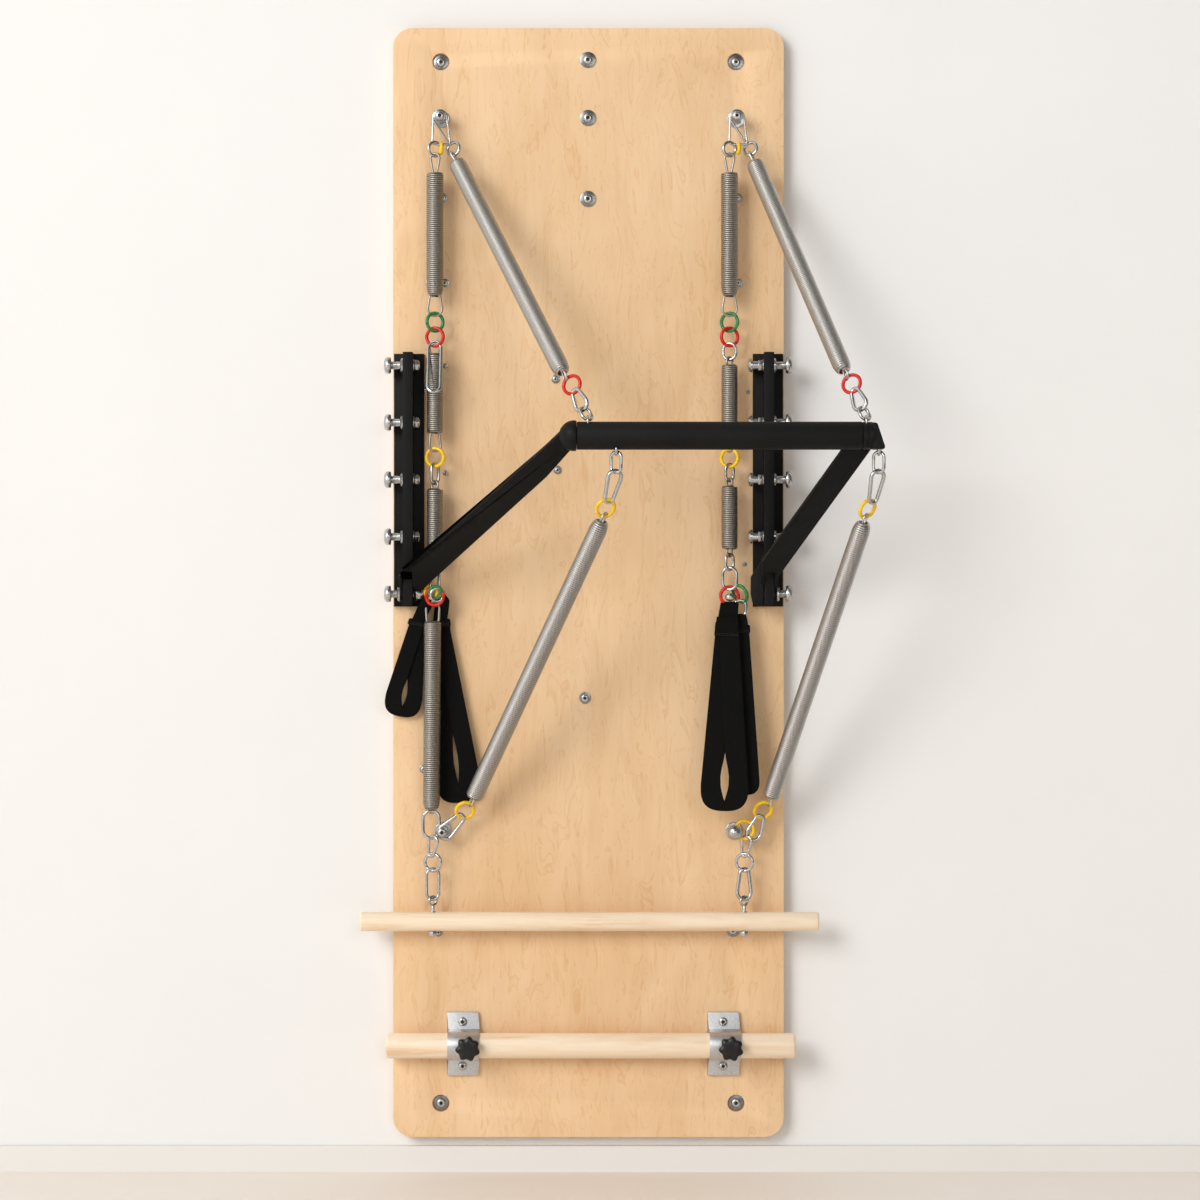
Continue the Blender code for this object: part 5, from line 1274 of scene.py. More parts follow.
pieces = [ring("r1_green", right[2] + LOWERED, DOWN, 28.0, finish=GREEN),
          ring("r1_red", right[3] + LOWERED, DOWN, -22.0, finish=RED),
          link("r1_link", right[4] + LOWERED / 2, DOWN, 18.0, 0.034 - ROW_DROP, 0.0120)]
mounted(unite(pieces, "right_coupling_1_wire"), "right_middle", "right_coupling_1")
pieces = [ring("r2_yellow", right[6], DOWN, 25.0, finish=YELLOW),
          link("r2_link", right[7], DOWN, -35.0, 0.030, 0.0085)]
mounted(unite(pieces, "right_coupling_2_wire"), "right_lower", "right_coupling_2")

SIDE_HEADING, REAR_END = Vector((0.55, 0.0, -1.0)), 0.015
SWIVEL_HALF = [(0.0, 0.0075), (0.0050, 0.0062), (0.0080, 0.0036), (0.0088, 0.0016)]
side = chain_middles(right[10] + Vector((0.004, 0.0, 0.0)), SIDE_HEADING,
                     [("rings", link_size(0.040)), ("rings", ring_size())])
rear_link_middle = side[1] + DOWN * (RING_RADIUS + REAR_END - RING_WIRE - LINK_WIRE + JOIN_DEPTH)
swivel = turned("r3_swivel", [(-along, radius) for along, radius in SWIVEL_HALF[:0:-1]] + SWIVEL_HALF, 28)
stand(dressed(swivel, BOLT_STEEL, 0.0), right[11] + Vector((0.0006, -0.002, -0.0025)), RIGHT, UP)
pieces = [link("r3_link", right[9], DOWN, -35.0, 0.028, 0.0085),
          link("r3_oval", right[10], DOWN, 15.0, 0.040, 0.0130),
          ring("r3_red", right[11], DOWN, -8.0, finish=RED), swivel,
          ring("r3_green", side[1], SIDE_HEADING, 50.0, finish=GREEN),
          link("r3_rear", rear_link_middle, DOWN, 0.0, 2 * REAR_END, 0.0105)]
mounted(unite(pieces, "right_handle_rings_wire"), "right_rings", "right_handle_rings")
print("right column ends at", [round(value, 4) for value in right[11]])

# %% [markdown]
# ### Lower clips
#
# The lower posts carry a slanted carabiner with a yellow ring, where a spring of the
# push-through bar ends, and an oval link or a ring, from which the roll-down bar hangs.

# %% Lower clips
SWING_Z, LAST_SHIFT = -0.4935, -0.0038
HANG_LINK, HANG_END, HANG_LOW = 0.037, 0.0100, 0.0058
OVAL_LENGTH, OVAL_END = 0.050, 0.0150
LEFT_OVAL_X, RIGHT_RING_X = -0.2857, 0.2840
oval_bottom = SWING_Z - RING_WIRE - LINK_WIRE - GAP + HANG_LINK - 2 * LINK_WIRE + JOIN_DEPTH
oval_middle = Vector((LEFT_OVAL_X, CHAIN_Y, oval_bottom + OVAL_LENGTH / 2))
hang_ring_middle = Vector((RIGHT_RING_X, CHAIN_Y, oval_bottom - RING_WIRE + LINK_WIRE + RING_RADIUS))


def hang_link(name, across, carrier_z, carrier_wire):
    top = carrier_z + carrier_wire + LINK_WIRE - JOIN_DEPTH
    circles = [(0.0, HANG_LINK / 2 - HANG_LOW, HANG_LOW), (0.0045, HANG_END - HANG_LINK / 2, HANG_END)]
    return wire_loop(name, (across, CHAIN_Y, top - HANG_LINK / 2), DOWN, 34.0, circles, LINK_WIRE + STOUT)


CLIP_SPANS = {"left": (Vector((-0.2285, CHAIN_Y, -0.4240)), Vector((-0.2690, CHAIN_Y, -0.4630))),
              "right": (Vector((0.3140, CHAIN_Y, -0.4240)), Vector((0.2960, CHAIN_Y, -0.4680)))}
lower_anchors = {}
for word, (start, end) in CLIP_SPANS.items():
    target = BAR_AXIS + Vector((LOWER_EYES[word], 0.0, -EYE_HEIGHT))
    pull = (target - start).normalized()
    lower_anchors[word] = start + pull * (RING_RADIUS - RING_WIRE - LINK_WIRE + JOIN_DEPTH)
    pieces = [carabiner("clip_" + word, (start + end) / 2, end - start, -12.0, (end - start).length,
                        0.0078, 0.0132),
              ring("clip_yellow_" + word, lower_anchors[word], pull, 20.0, finish=YELLOW)]
    if word == "left":
        pieces += [link("oval", oval_middle, DOWN, 0.0, OVAL_LENGTH, OVAL_END),
                   hang_link("hang_left", LEFT_OVAL_X, oval_bottom, LINK_WIRE)]
    else:
        pieces += [ring("hang_ring", hang_ring_middle, DOWN, 8.0, finish=YELLOW),
                   hang_link("hang_right", RIGHT_RING_X, hang_ring_middle.z - RING_RADIUS, RING_WIRE)]
    node = "bottom_" + word + "_carabiner"
    mounted(unite(pieces, node + "_wire"), "board", node)

last_heading = (oval_middle - cluster).normalized()
last_top = cluster + last_heading * (RING_RADIUS - RING_WIRE - LOOP_WIRE - GAP)
last_bottom = oval_middle + UP * (OVAL_LENGTH / 2 - LINK_WIRE - LOOP_WIRE - GAP)
last_sizes = column_sizes((last_bottom - last_top).length - 0.024, FULL, 0.012, 0.012)
long_loop = dict(last_sizes, length=(last_bottom - last_top).length, top_reach=0.034, bottom_reach=0.004,
                 loop=0.0125, foot=0.0115, shoulders=(0.005, 0.020), noses=(0.0100, 0.0070))
last_top = last_top + RIGHT * LAST_SHIFT
column_spring("left_spring_4", (last_top + last_bottom) / 2, last_bottom - last_top, 10.0, long_loop, "board")
print("lower clips made")

# %% [markdown]
# ## Springs of the push-through bar
#
# Four brighter springs pull the bar, two up and two down. From each eye of the bar hang a link, a carabiner and
# a coloured ring, and the spring runs on to its ring at the board. It crosses the bar's hinge, and it stays in
# the world's place with no body to ride on.

# %% Bar clips and springs
COIL_WIRE = 0.0022
COIL_SPRING = {"outer": 0.0163, "wire": 0.00185, "loop_wire": COIL_WIRE, "loop": 0.0085,
               "noses": (0.0085, 0.0062), "bottom_reach": 0.014}
END_SHIFTS = {"upper_left": (-0.0060, -0.0050), "upper_right": (-0.0035, -0.0035),
              "lower_left": (0.0050, 0.0045), "lower_right": (0.0060, -0.0030)}
RING_SHIFTS, RING_YAWS = {"lower_right": -0.0050}, {"lower_right": -42.0, "lower_left": -30.0}
CLIP_SIZES = {1.0: (0.026, 0.043), -1.0: (0.036, 0.058)}
CLIP_LINK_END, PEAR_LARGE, PEAR_SMALL = 0.0100, 0.0125, 0.0080


def yaw_across(heading, lateral):
    flat = chain_axes(heading, 0.0)[1]
    forward = chain_axes(heading, 90.0)[1]
    return math.degrees(math.atan2(lateral.dot(forward), lateral.dot(flat)))


def hook_reach(sizes):
    """From a part's middle to the middle of the crossing where the next one hangs in it."""
    return half_length(sizes) - sizes["wire"] + JOIN_DEPTH / 2


def bar_chain(word, eye_x, upward, anchor, color):
    middle = BAR_AXIS + Vector((eye_x, 0.0, upward * EYE_HEIGHT))
    taut = (anchor - middle).normalized()
    hang = taut if upward > 0 else DOWN
    lean = (hang + taut * 2.0).normalized()
    pull = Vector((0.0, hang.y, hang.z)).normalized()
    flat_drop = BAR_EYE * (1.0 - math.cos(math.pi / 12))
    spot = middle + pull * BAR_EYE - hang * (EYE_WIRE + LINK_WIRE + GAP + flat_drop)
    link_length, pear_length = CLIP_SIZES[upward]
    node = word + "_bar_clip"
    link_middle = spot + hang * link_length / 2
    spot = link_middle + hang * hook_reach(link_size(link_length))
    pear_middle = spot + lean * hook_reach(link_size(pear_length))
    spot = pear_middle + lean * hook_reach(link_size(pear_length))
    ring_middle = spot + taut * hook_reach(ring_size())
    pieces = [link(word + "_link", link_middle, hang, yaw_across(hang, RIGHT) + 30.0, link_length,
                   CLIP_LINK_END),
              carabiner(word + "_pear", pear_middle, lean, -28.0, pear_length, PEAR_LARGE, PEAR_SMALL),
              ring(word + "_ring", ring_middle + RIGHT * RING_SHIFTS.get(word, 0.0), taut,
                   RING_YAWS.get(word, -20.0), finish=color)]
    mounted(unite(pieces, node + "_wire"), "push_frame", node)
    heading = (anchor - ring_middle).normalized()
    contact = RING_RADIUS - RING_WIRE - COIL_WIRE - 0.0006
    start = anchor - heading * contact + RIGHT * END_SHIFTS[word][0]
    end = ring_middle + heading * contact + RIGHT * END_SHIFTS[word][1]
    shape = dict(COIL_SPRING, top_reach=0.022 if upward > 0 else 0.018,
                 shoulders=(0.014, 0.021) if upward > 0 else (0.006, 0.024))
    spring = spring_with_loops(word + "_bar_spring_coil", start, end, 110.0, shape, BRIGHT_SPRING)
    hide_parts(word + "_bar_spring")
    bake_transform(spring)
    return (end - start).length


for word in ("left", "right"):
    top_pull = (BAR_AXIS + Vector((UPPER_EYES[word], 0.0, EYE_HEIGHT)) - bar_rings[word]).normalized()
    upper_anchor = bar_rings[word] + top_pull * (SMALL_RING - RING_RADIUS)
    upper = bar_chain("upper_" + word, UPPER_EYES[word], 1.0, upper_anchor, RED)
    lower = bar_chain("lower_" + word, LOWER_EYES[word], -1.0, lower_anchors[word], YELLOW)
    print(word, "bar springs:", round(upper, 3), round(lower, 3))

# %% [markdown]
# ## Rails and their bolts
#
# A black T-rail runs up each side of the board. Its section is sliced from a flat bar: two cuts
# mark the web, and the strip between them is pulled forward. Five bolts cross each web. Outside
# it each has a domed head on a neck with a flange, and inside it a washer and a hexagon nut.

# %% Rails
RAIL_X, RAIL_WIDTH, RAIL_BASE = 0.328, 0.055, 0.006
WEB_WIDTH, WEB_DEPTH = 0.0176, 0.051
RAIL_LOW, RAIL_LENGTH, RAIL_BOLT_DEPTH = -0.044, 0.462, 0.030
RAIL_INSET = 0.023
RAIL_BOLTS, RAIL_BORE = 5, 0.0063
RAIL_PITCH = (RAIL_LENGTH - 2 * RAIL_INSET) / (RAIL_BOLTS - 1)


def rail_spot(across, index):
    """A place on the axis of one of a rail's bolts, counted from below."""
    return Vector((across, depth(RAIL_BOLT_DEPTH), RAIL_LOW + RAIL_INSET + index * RAIL_PITCH))


def slice_at(piece, place, normal):
    open_edit(piece)
    bpy.ops.mesh.select_all(action="SELECT")
    bpy.ops.mesh.bisect(plane_co=place, plane_no=normal)
    close_edit()


def make_rail(word, side):
    middle = side * RAIL_X
    back = FRONT - GAP
    rail = slab(word + "_rail_bar", (middle - RAIL_WIDTH / 2, back - RAIL_BASE, RAIL_LOW),
                (middle + RAIL_WIDTH / 2, back, RAIL_LOW + RAIL_LENGTH))
    for edge in (-1.0, 1.0):
        slice_at(rail, (middle + edge * WEB_WIDTH / 2, 0.0, 0.0), RIGHT)
    pick_faces(rail, lambda co, normal: normal.y < -0.9 and abs(co.x - middle) < WEB_WIDTH / 2)
    bpy.ops.mesh.extrude_region_move(
        TRANSFORM_OT_translate={"value": (0.0, depth(WEB_DEPTH) - (back - RAIL_BASE), 0.0)})
    close_edit()
    mend_normals(rail)
    for index in range(RAIL_BOLTS):
        cut_with(rail, round_bar("bore", rail_spot(middle - RAIL_WIDTH, index),
                                 rail_spot(middle + RAIL_WIDTH, index), RAIL_BORE, 24))
    dressed(rail, POWDER, 0.0011, 3)
    return mounted(rail, "board", word + "_rail", slot="black_metal")


print("rail bolts every", round(RAIL_PITCH, 4), "m")

# %% [markdown]
# ### Bolts through the rails
#
# A bolt is turned in one go from its domed head down over a knurled neck to the collar. The lowest
# bolt of each rail clamps an arm's fork as well, so its collar and nut stand further out. The
# upper ones on the right end in a long cap nut.

# %% Rail bolts
PRONG, RUNNING, KNURLS = 0.005, 0.001, 9
SHORT_CAP = ((0.0098, 0.0078), (0.0112, 0.0074))
LONG_CAP = ((0.0098, 0.0080), (0.0205, 0.0078), (0.0207, 0.0125), (0.0240, 0.0128), (0.0275, 0.0105),
            (0.0290, 0.0050))


def make_rail_bolt(word, side, index):
    clamped = WEB_WIDTH / 2 + GAP + (RUNNING + PRONG if index == 0 else 0.0)
    flange = clamped + 0.004
    neck = flange + 0.019 - (clamped - WEB_WIDTH / 2)
    head = neck + 0.012
    node = word + "_rail_bolt_" + str(index + 1)
    dome = [(head, 0.0070), (head - 0.0008, 0.0108), (head - 0.0026, 0.0136), (head - 0.0056, 0.0152),
            (head - 0.0095, 0.0154), (neck, 0.0142)]
    knurl = []
    for step in range(KNURLS):
        along = neck - (neck - flange) * (step + 0.5) / KNURLS
        knurl += [(along + 0.0005, 0.0074), (along, 0.0067), (along - 0.0005, 0.0067)]
    collar = [(flange, 0.0120), (flange - 0.0010, 0.0133), (clamped, 0.0133)]
    shaft = turned(node + "_head", dome + knurl + collar, 36)
    cut_with(shaft, round_bar("socket", UP * (head - 0.006), UP * (head + 0.001), 0.0045, 6))
    dressed(shaft, BOLT_STEEL, 0.0)
    tail = LONG_CAP if side > 0 and index > 0 else SHORT_CAP
    pieces = [shaft]
    pin = ((-0.001 - 2 * clamped, 0.0060), (0.0115, 0.0060), (0.0120, 0.0052))
    for part, profile, sides, bevel in (("_pin", pin, 24, 0.0),
                                        ("_washer", ((0.0, 0.0114), (0.0018, 0.0114)), 36, 0.0003),
                                        ("_nut", ((0.0018, 0.0106), (0.0100, 0.0106)), 6, 0.0008),
                                        ("_cap", tail, 28, 0.0)):
        inward = [(-clamped - reach, radius) for reach, radius in profile]
        pieces.append(dressed(turned(node + part, inward, sides), BOLT_STEEL, bevel))
    bolt = unite(pieces, node + "_steel")
    stand(bolt, rail_spot(side * RAIL_X, index), RIGHT * side, UP)
    return mounted(bolt, "board", node, slot="steel")


for word, side in SIDES:
    make_rail(word, side)
    for index in range(RAIL_BOLTS):
        make_rail_bolt(word, side, index)
print("rails made, with bolts:", 2 * RAIL_BOLTS)

# %% [markdown]
# ## The push-through bar
#
# A steel tube carries a foam grip and four eyes. The foam is a turned sleeve with rounded ends.
# Each arm is a flat steel bar whose outline slants from its rail bolt to the tube. It starts as a
# many-sided disc whose points are moved to the outline, and is then extruded to its thickness.

# %% A plate from an outline
def plate_from(name, points, thickness_vector):
    """A flat plate: a disc's points are moved to the outline, then it is extruded."""
    piece = primitive(bpy.ops.mesh.primitive_circle_add, name, vertices=len(points), radius=1.0,
                      fill_type="NGON")
    for vertex, point in zip(piece.data.vertices, points):
        vertex.co = point
    open_edit(piece, "FACE")
    bpy.ops.mesh.select_all(action="SELECT")
    bpy.ops.mesh.extrude_region_move(TRANSFORM_OT_translate={"value": tuple(thickness_vector)})
    close_edit()
    mend_normals(piece)
    return piece


# %% [markdown]
# ### Tube, eyes and grip
#
# The tube lies level in front of the board. Two eyes stand on it and two hang below it, and a
# grooved collar and a slanted end cap close its right end.

# %% Tube, eyes and foam
TUBE_RADIUS, TUBE_LEFT, TUBE_RIGHT = 0.016, -0.042, 0.499
FOAM_RADIUS, FOAM_LEFT, FOAM_RIGHT = 0.0243, -0.019, 0.474
tube = turned("push_bar_tube", [(TUBE_LEFT, TUBE_RADIUS - 0.003), (TUBE_LEFT, TUBE_RADIUS),
                                (TUBE_RIGHT, TUBE_RADIUS), (TUBE_RIGHT, TUBE_RADIUS - 0.003)], 48)
stand(dressed(tube, POWDER, 0.0008), BAR_AXIS, RIGHT, UP)
pieces = [tube]
for across, upward in ((UPPER_EYES["left"], 1.0), (UPPER_EYES["right"], 1.0),
                       (LOWER_EYES["left"], -1.0), (LOWER_EYES["right"], -1.0)):
    pieces.append(screw_eye("bar_eye", BAR_AXIS + Vector((across, 0.0, upward * EYE_HEIGHT)), BAR_EYE,
                            EYE_WIRE, RIGHT))
collar = turned("bar_collar", [(0.0, TUBE_RADIUS - 0.001), (0.0, 0.0232), (0.0008, 0.0238), (0.0080, 0.0238),
                               (0.0086, 0.0230), (0.0094, 0.0230), (0.0100, 0.0238), (0.0172, 0.0238),
                               (0.0180, 0.0230), (0.0180, TUBE_RADIUS - 0.001)], 48)
pieces.append(stand(dressed(collar, POWDER, 0.0), BAR_AXIS + RIGHT * (FOAM_RIGHT + 0.0006), RIGHT, UP))
END_CAP = ((0.4915, 0.2745), (0.4990, 0.2730), (0.5125, 0.2325), (0.5115, 0.2285), (0.4915, 0.2285))
CAP_WIDTH = 0.040
cap = plate_from("bar_end_cap", [(across, BAR_AXIS.y - CAP_WIDTH / 2, up) for across, up in END_CAP],
                 (0.0, CAP_WIDTH, 0.0))
pieces.append(dressed(cap, POWDER, 0.0022, 3))
mounted(unite(pieces, "push_bar_steel"), "push_frame", "push_bar", slot="black_metal")

foam = turned("push_bar_grip", [(FOAM_LEFT, TUBE_RADIUS), (FOAM_LEFT, FOAM_RADIUS - 0.0015),
                                (FOAM_LEFT + 0.0006, FOAM_RADIUS - 0.0004), (FOAM_LEFT + 0.0016, FOAM_RADIUS),
                                (FOAM_RIGHT - 0.0016, FOAM_RADIUS), (FOAM_RIGHT - 0.0006, FOAM_RADIUS - 0.0004),
                                (FOAM_RIGHT, FOAM_RADIUS - 0.0015), (FOAM_RIGHT, TUBE_RADIUS)], 64)
stand(dressed(foam, FOAM, 0.0), BAR_AXIS, RIGHT, UP)
mounted(foam, "push_frame", "push_bar_foam", slot="foam")
print("grip", round(FOAM_RIGHT - FOAM_LEFT, 3), "m long")

# %% [markdown]
# ### The two arms
#
# Both arms lie in one slanted plane, from the pivots on the rails to the tube, so their outlines
# are drawn across and along that plane. A fork at the foot of each straddles the rail's web. Where
# the arm meets the tube a turned sleeve goes round, which on the left swells into a knuckle.

# %% Arms
ARM_THICKNESS, SLOT_END = 0.008, 0.060
PIVOT = rail_spot(0.0, 0)
ARM_REACH = (BAR_AXIS - PIVOT).length
ARM_HEADING = (BAR_AXIS - PIVOT).normalized()
ARM_NORMAL = ARM_HEADING.cross(RIGHT).normalized()
SLEEVE_RADIUS = 0.0225
PLATE_END = ARM_REACH - (TUBE_RADIUS + SLEEVE_RADIUS) / 2
PRONG_RADIUS, NUT_RADIUS, KNUCKLE_RADIUS = 0.014, 0.0114, 0.0255
FOOT_DEPTH, FOOT_THICKNESS = 0.0520, 0.0065
FOOT = ((0.3178, 0.0560), (0.3178, -0.0440), (0.3060, -0.0437), (0.2975, -0.0370), (0.2940, -0.0210),
        (0.2943, 0.0100), (0.3050, 0.0260), (0.3120, 0.0380))
KNUCKLE = ((0.0, 0.10), (0.015, 0.30), (0.06, 0.46), (0.14, 0.61), (0.26, 0.77), (0.40, 0.90),
           (0.56, 0.99), (0.72, 1.04), (0.86, 1.055), (0.96, 1.03), (1.0, 0.97), (1.0, 0.60))


def on_arm(across, along, off=0.0):
    """A place in the arms' plane; off is measured square to it."""
    return RIGHT * across + PIVOT + ARM_HEADING * along + ARM_NORMAL * off


def fork(middle):
    """The outline of the two prongs and the slot between them, from right to left."""
    inner = WEB_WIDTH / 2 + RUNNING
    return [(middle + inner + PRONG, 0.0), (middle + inner, 0.0), (middle + inner, SLOT_END),
            (middle - inner, SLOT_END), (middle - inner, 0.0), (middle - inner - PRONG, 0.0)]


def make_arm(word, side, outline, sleeve_left, sleeve_right):
    middle = side * RAIL_X
    arm = plate_from(word + "_arm_plate", [on_arm(a, s, -ARM_THICKNESS / 2) for a, s in outline],
                     ARM_NORMAL * ARM_THICKNESS)
    dressed(arm, POWDER, 0.0009, 3)
    pieces = [arm]
    for direction in (-1.0, 1.0):
        near = middle + direction * (WEB_WIDTH / 2 + RUNNING + GAP)
        far = middle + direction * (WEB_WIDTH / 2 + RUNNING + PRONG - GAP)
        boss = round_bar("boss", on_arm(near, 0.0), on_arm(far, 0.0), PRONG_RADIUS, 36)
        pieces.append(dressed(boss, POWDER, 0.0006))
    span = sleeve_right - sleeve_left
    profile = [(0.0, TUBE_RADIUS), (0.0, SLEEVE_RADIUS - 0.001), (0.001, SLEEVE_RADIUS),
               (span - 0.001, SLEEVE_RADIUS), (span, SLEEVE_RADIUS - 0.001), (span, TUBE_RADIUS)]
    if side < 0:
        profile = [(share * span, KNUCKLE_RADIUS * rise) for share, rise in KNUCKLE]
    sleeve = turned("sleeve", profile, 48)
    stand(dressed(sleeve, POWDER, 0.0), on_arm(sleeve_left, ARM_REACH), RIGHT, UP)
    pieces.append(sleeve)
    if side > 0:
        foot = plate_from("arm_foot", [(across, depth(FOOT_DEPTH), up) for across, up in FOOT],
                          (0.0, FOOT_THICKNESS, 0.0))
        pieces.append(dressed(foot, POWDER, 0.0018, 3))
    return mounted(unite(pieces, word + "_arm_steel"), "push_frame", word + "_arm", slot="black_metal")


print("arms reach", round(ARM_REACH, 4), "m from the pivot to the tube")

# %% [markdown]
# ### Arm outlines
#
# Each outline starts with the fork and goes round the arm. An edge is a straight line: it leaves
# the fork at a bend and moves sideways by a slope. The left arm is long and leans far inwards, the
# right one is short, and both stop before the foam.

# %% Left and right arm outlines
REACH_CLEAR, CLEAR_BELOW = ARM_REACH - FOAM_RADIUS, 0.006
WRAP_LEFT, WRAP_RIGHT, LEFT_SLEEVE = -0.0500, -0.0360, -0.0495
CROOK, CROOK_RISE = -0.072, 0.008
half_fork = WEB_WIDTH / 2 + RUNNING + PRONG
left_edge, right_edge = -RAIL_X - half_fork, -RAIL_X + half_fork
sleeve_right = FOAM_LEFT - 0.003
slope, bend, width = 0.845, 0.045, 0.067
lower_start = bend - (width - 2 * half_fork) / slope
top_left = left_edge + slope * (PLATE_END - bend)
top_right = sleeve_right - 0.008
notch = NUT_RADIUS + RUNNING
wrap = ARM_REACH + 0.006
clear = REACH_CLEAR - CLEAR_BELOW
outline = fork(-RAIL_X) + [
    (left_edge, bend), (top_left, PLATE_END), (WRAP_LEFT, wrap), (WRAP_RIGHT, wrap),
    (WRAP_RIGHT, PLATE_END), (top_right, PLATE_END), (top_right, clear),
    (CROOK, lower_start + (CROOK - right_edge) / slope + CROOK_RISE),
    (right_edge + slope * (notch - lower_start), notch), (right_edge, notch)]
make_arm("left", -1.0, outline, LEFT_SLEEVE, FOAM_LEFT - 0.0004)

left_edge, right_edge = RAIL_X - half_fork, RAIL_X + half_fork
sleeve_left = UPPER_EYES["right"] + EYE_WIRE + 0.003
neck_left, neck_right = sleeve_left + 0.001, sleeve_left + 0.009
slope, bend, width = 0.474, 0.085, 0.048
lower_start = bend - (width - 2 * half_fork) / slope
outline = fork(RAIL_X) + [
    (left_edge, bend), (left_edge + slope * (clear - bend), clear), (neck_left, clear),
    (neck_left, PLATE_END), (neck_right, PLATE_END),
    (neck_right, lower_start + (neck_right - right_edge) / slope), (right_edge, lower_start)]
make_arm("right", 1.0, outline, sleeve_left, sleeve_left + 0.010)
print("arms made, the right sleeve starts at", round(sleeve_left, 4))

# %% [markdown]
# ## Strap handles
#
# Each handle is one strip of black webbing, laid as a long loop. It comes down as one leg, turns
# over at the bottom and goes up as the other leg, which lies in front. Both legs are sewn into a
# folded cap, and a neck strip goes from the cap over a ring. A strip is a grid whose two edges
# are laid along two lines. Its UV map is in metres, so the weave keeps its size.

# %% Webbing strips
STRIP_ROWS = 6
WEB_THICKNESS = 0.0026


def webbing_strip(name, first_edge, second_edge, thickness=WEB_THICKNESS):
    """A strip between two edge lines of equally many places."""
    columns = len(first_edge) - 1
    sheet = primitive(bpy.ops.mesh.primitive_grid_add, name, x_subdivisions=columns,
                      y_subdivisions=STRIP_ROWS, size=1.0)
    if not sheet.data.uv_layers:
        sheet.data.uv_layers.new(name="weave")
    run = [0.0]
    for before, after in zip(first_edge, first_edge[1:]):
        run.append(run[-1] + (after - before).length)
    width = (second_edge[0] - first_edge[0]).length
    spots = {}
    for vertex in sheet.data.vertices:
        column = round((vertex.co.x + 0.5) * columns)
        row = round((vertex.co.y + 0.5) * STRIP_ROWS)
        spots[vertex.index] = (row / STRIP_ROWS * width, run[column])
        vertex.co = first_edge[column].lerp(second_edge[column], row / STRIP_ROWS)
    weave = sheet.data.uv_layers[0]
    for corner in sheet.data.loops:
        weave.data[corner.index].uv = spots[corner.vertex_index]
    wall = sheet.modifiers.new("thickness", "SOLIDIFY")
    wall.thickness = thickness
    wall.offset = 0.0
    apply_modifiers(sheet)
    mend_normals(sheet)
    round_edges(sheet, thickness * 0.32, 2, 60.0)
    return paint(smooth(sheet, 50.0), WEBBING)


# %% [markdown]
# ### Stitches
#
# The seams show as two rows of short threads. One curve holds all the threads of a handle, and a
# round bevel gives them their thickness.

# %% Stitches
def stitch_rows(name, rows, count=9, radius=0.00045):
    """Short threads along each row, given by its two ends."""
    line = empty_line()
    for start, end in rows:
        for step in range(count):
            spline = line.data.splines.new("POLY")
            spline.points.add(1)
            for knot, share in zip(spline.points, ((step + 0.18) / count, (step + 0.82) / count)):
                knot.co = (*start.lerp(end, share), 1.0)
    line.data.bevel_depth = radius
    line.data.bevel_resolution = 1
    line.data.use_fill_caps = True
    bpy.ops.object.convert(target="MESH")
    return paint(smooth(new_piece(name), 60.0), THREAD)


# %% [markdown]
# ### One handle
#
# The handle's plane is spanned by a direction across and one along it. In that plane the outer
# edge of the webbing is a belt round two circles, a small one at the shoulder and a wide one at
# the turn. The inner edge leaves a narrow gap between the legs. One leg is lifted over the other,
# and the lift fades round the turn.

# %% One handle
LAYER_LIFT, LEG_STEPS, TURN_POINTS = 0.0019, 20, 26


def squared(u, v, radius, power=2.8):
    """A place on a circle pushed out towards the corners of its square."""
    grow = ((abs(u) / radius) ** power + (abs(v) / radius) ** power) ** (-1.0 / power)
    return u * grow, v * grow


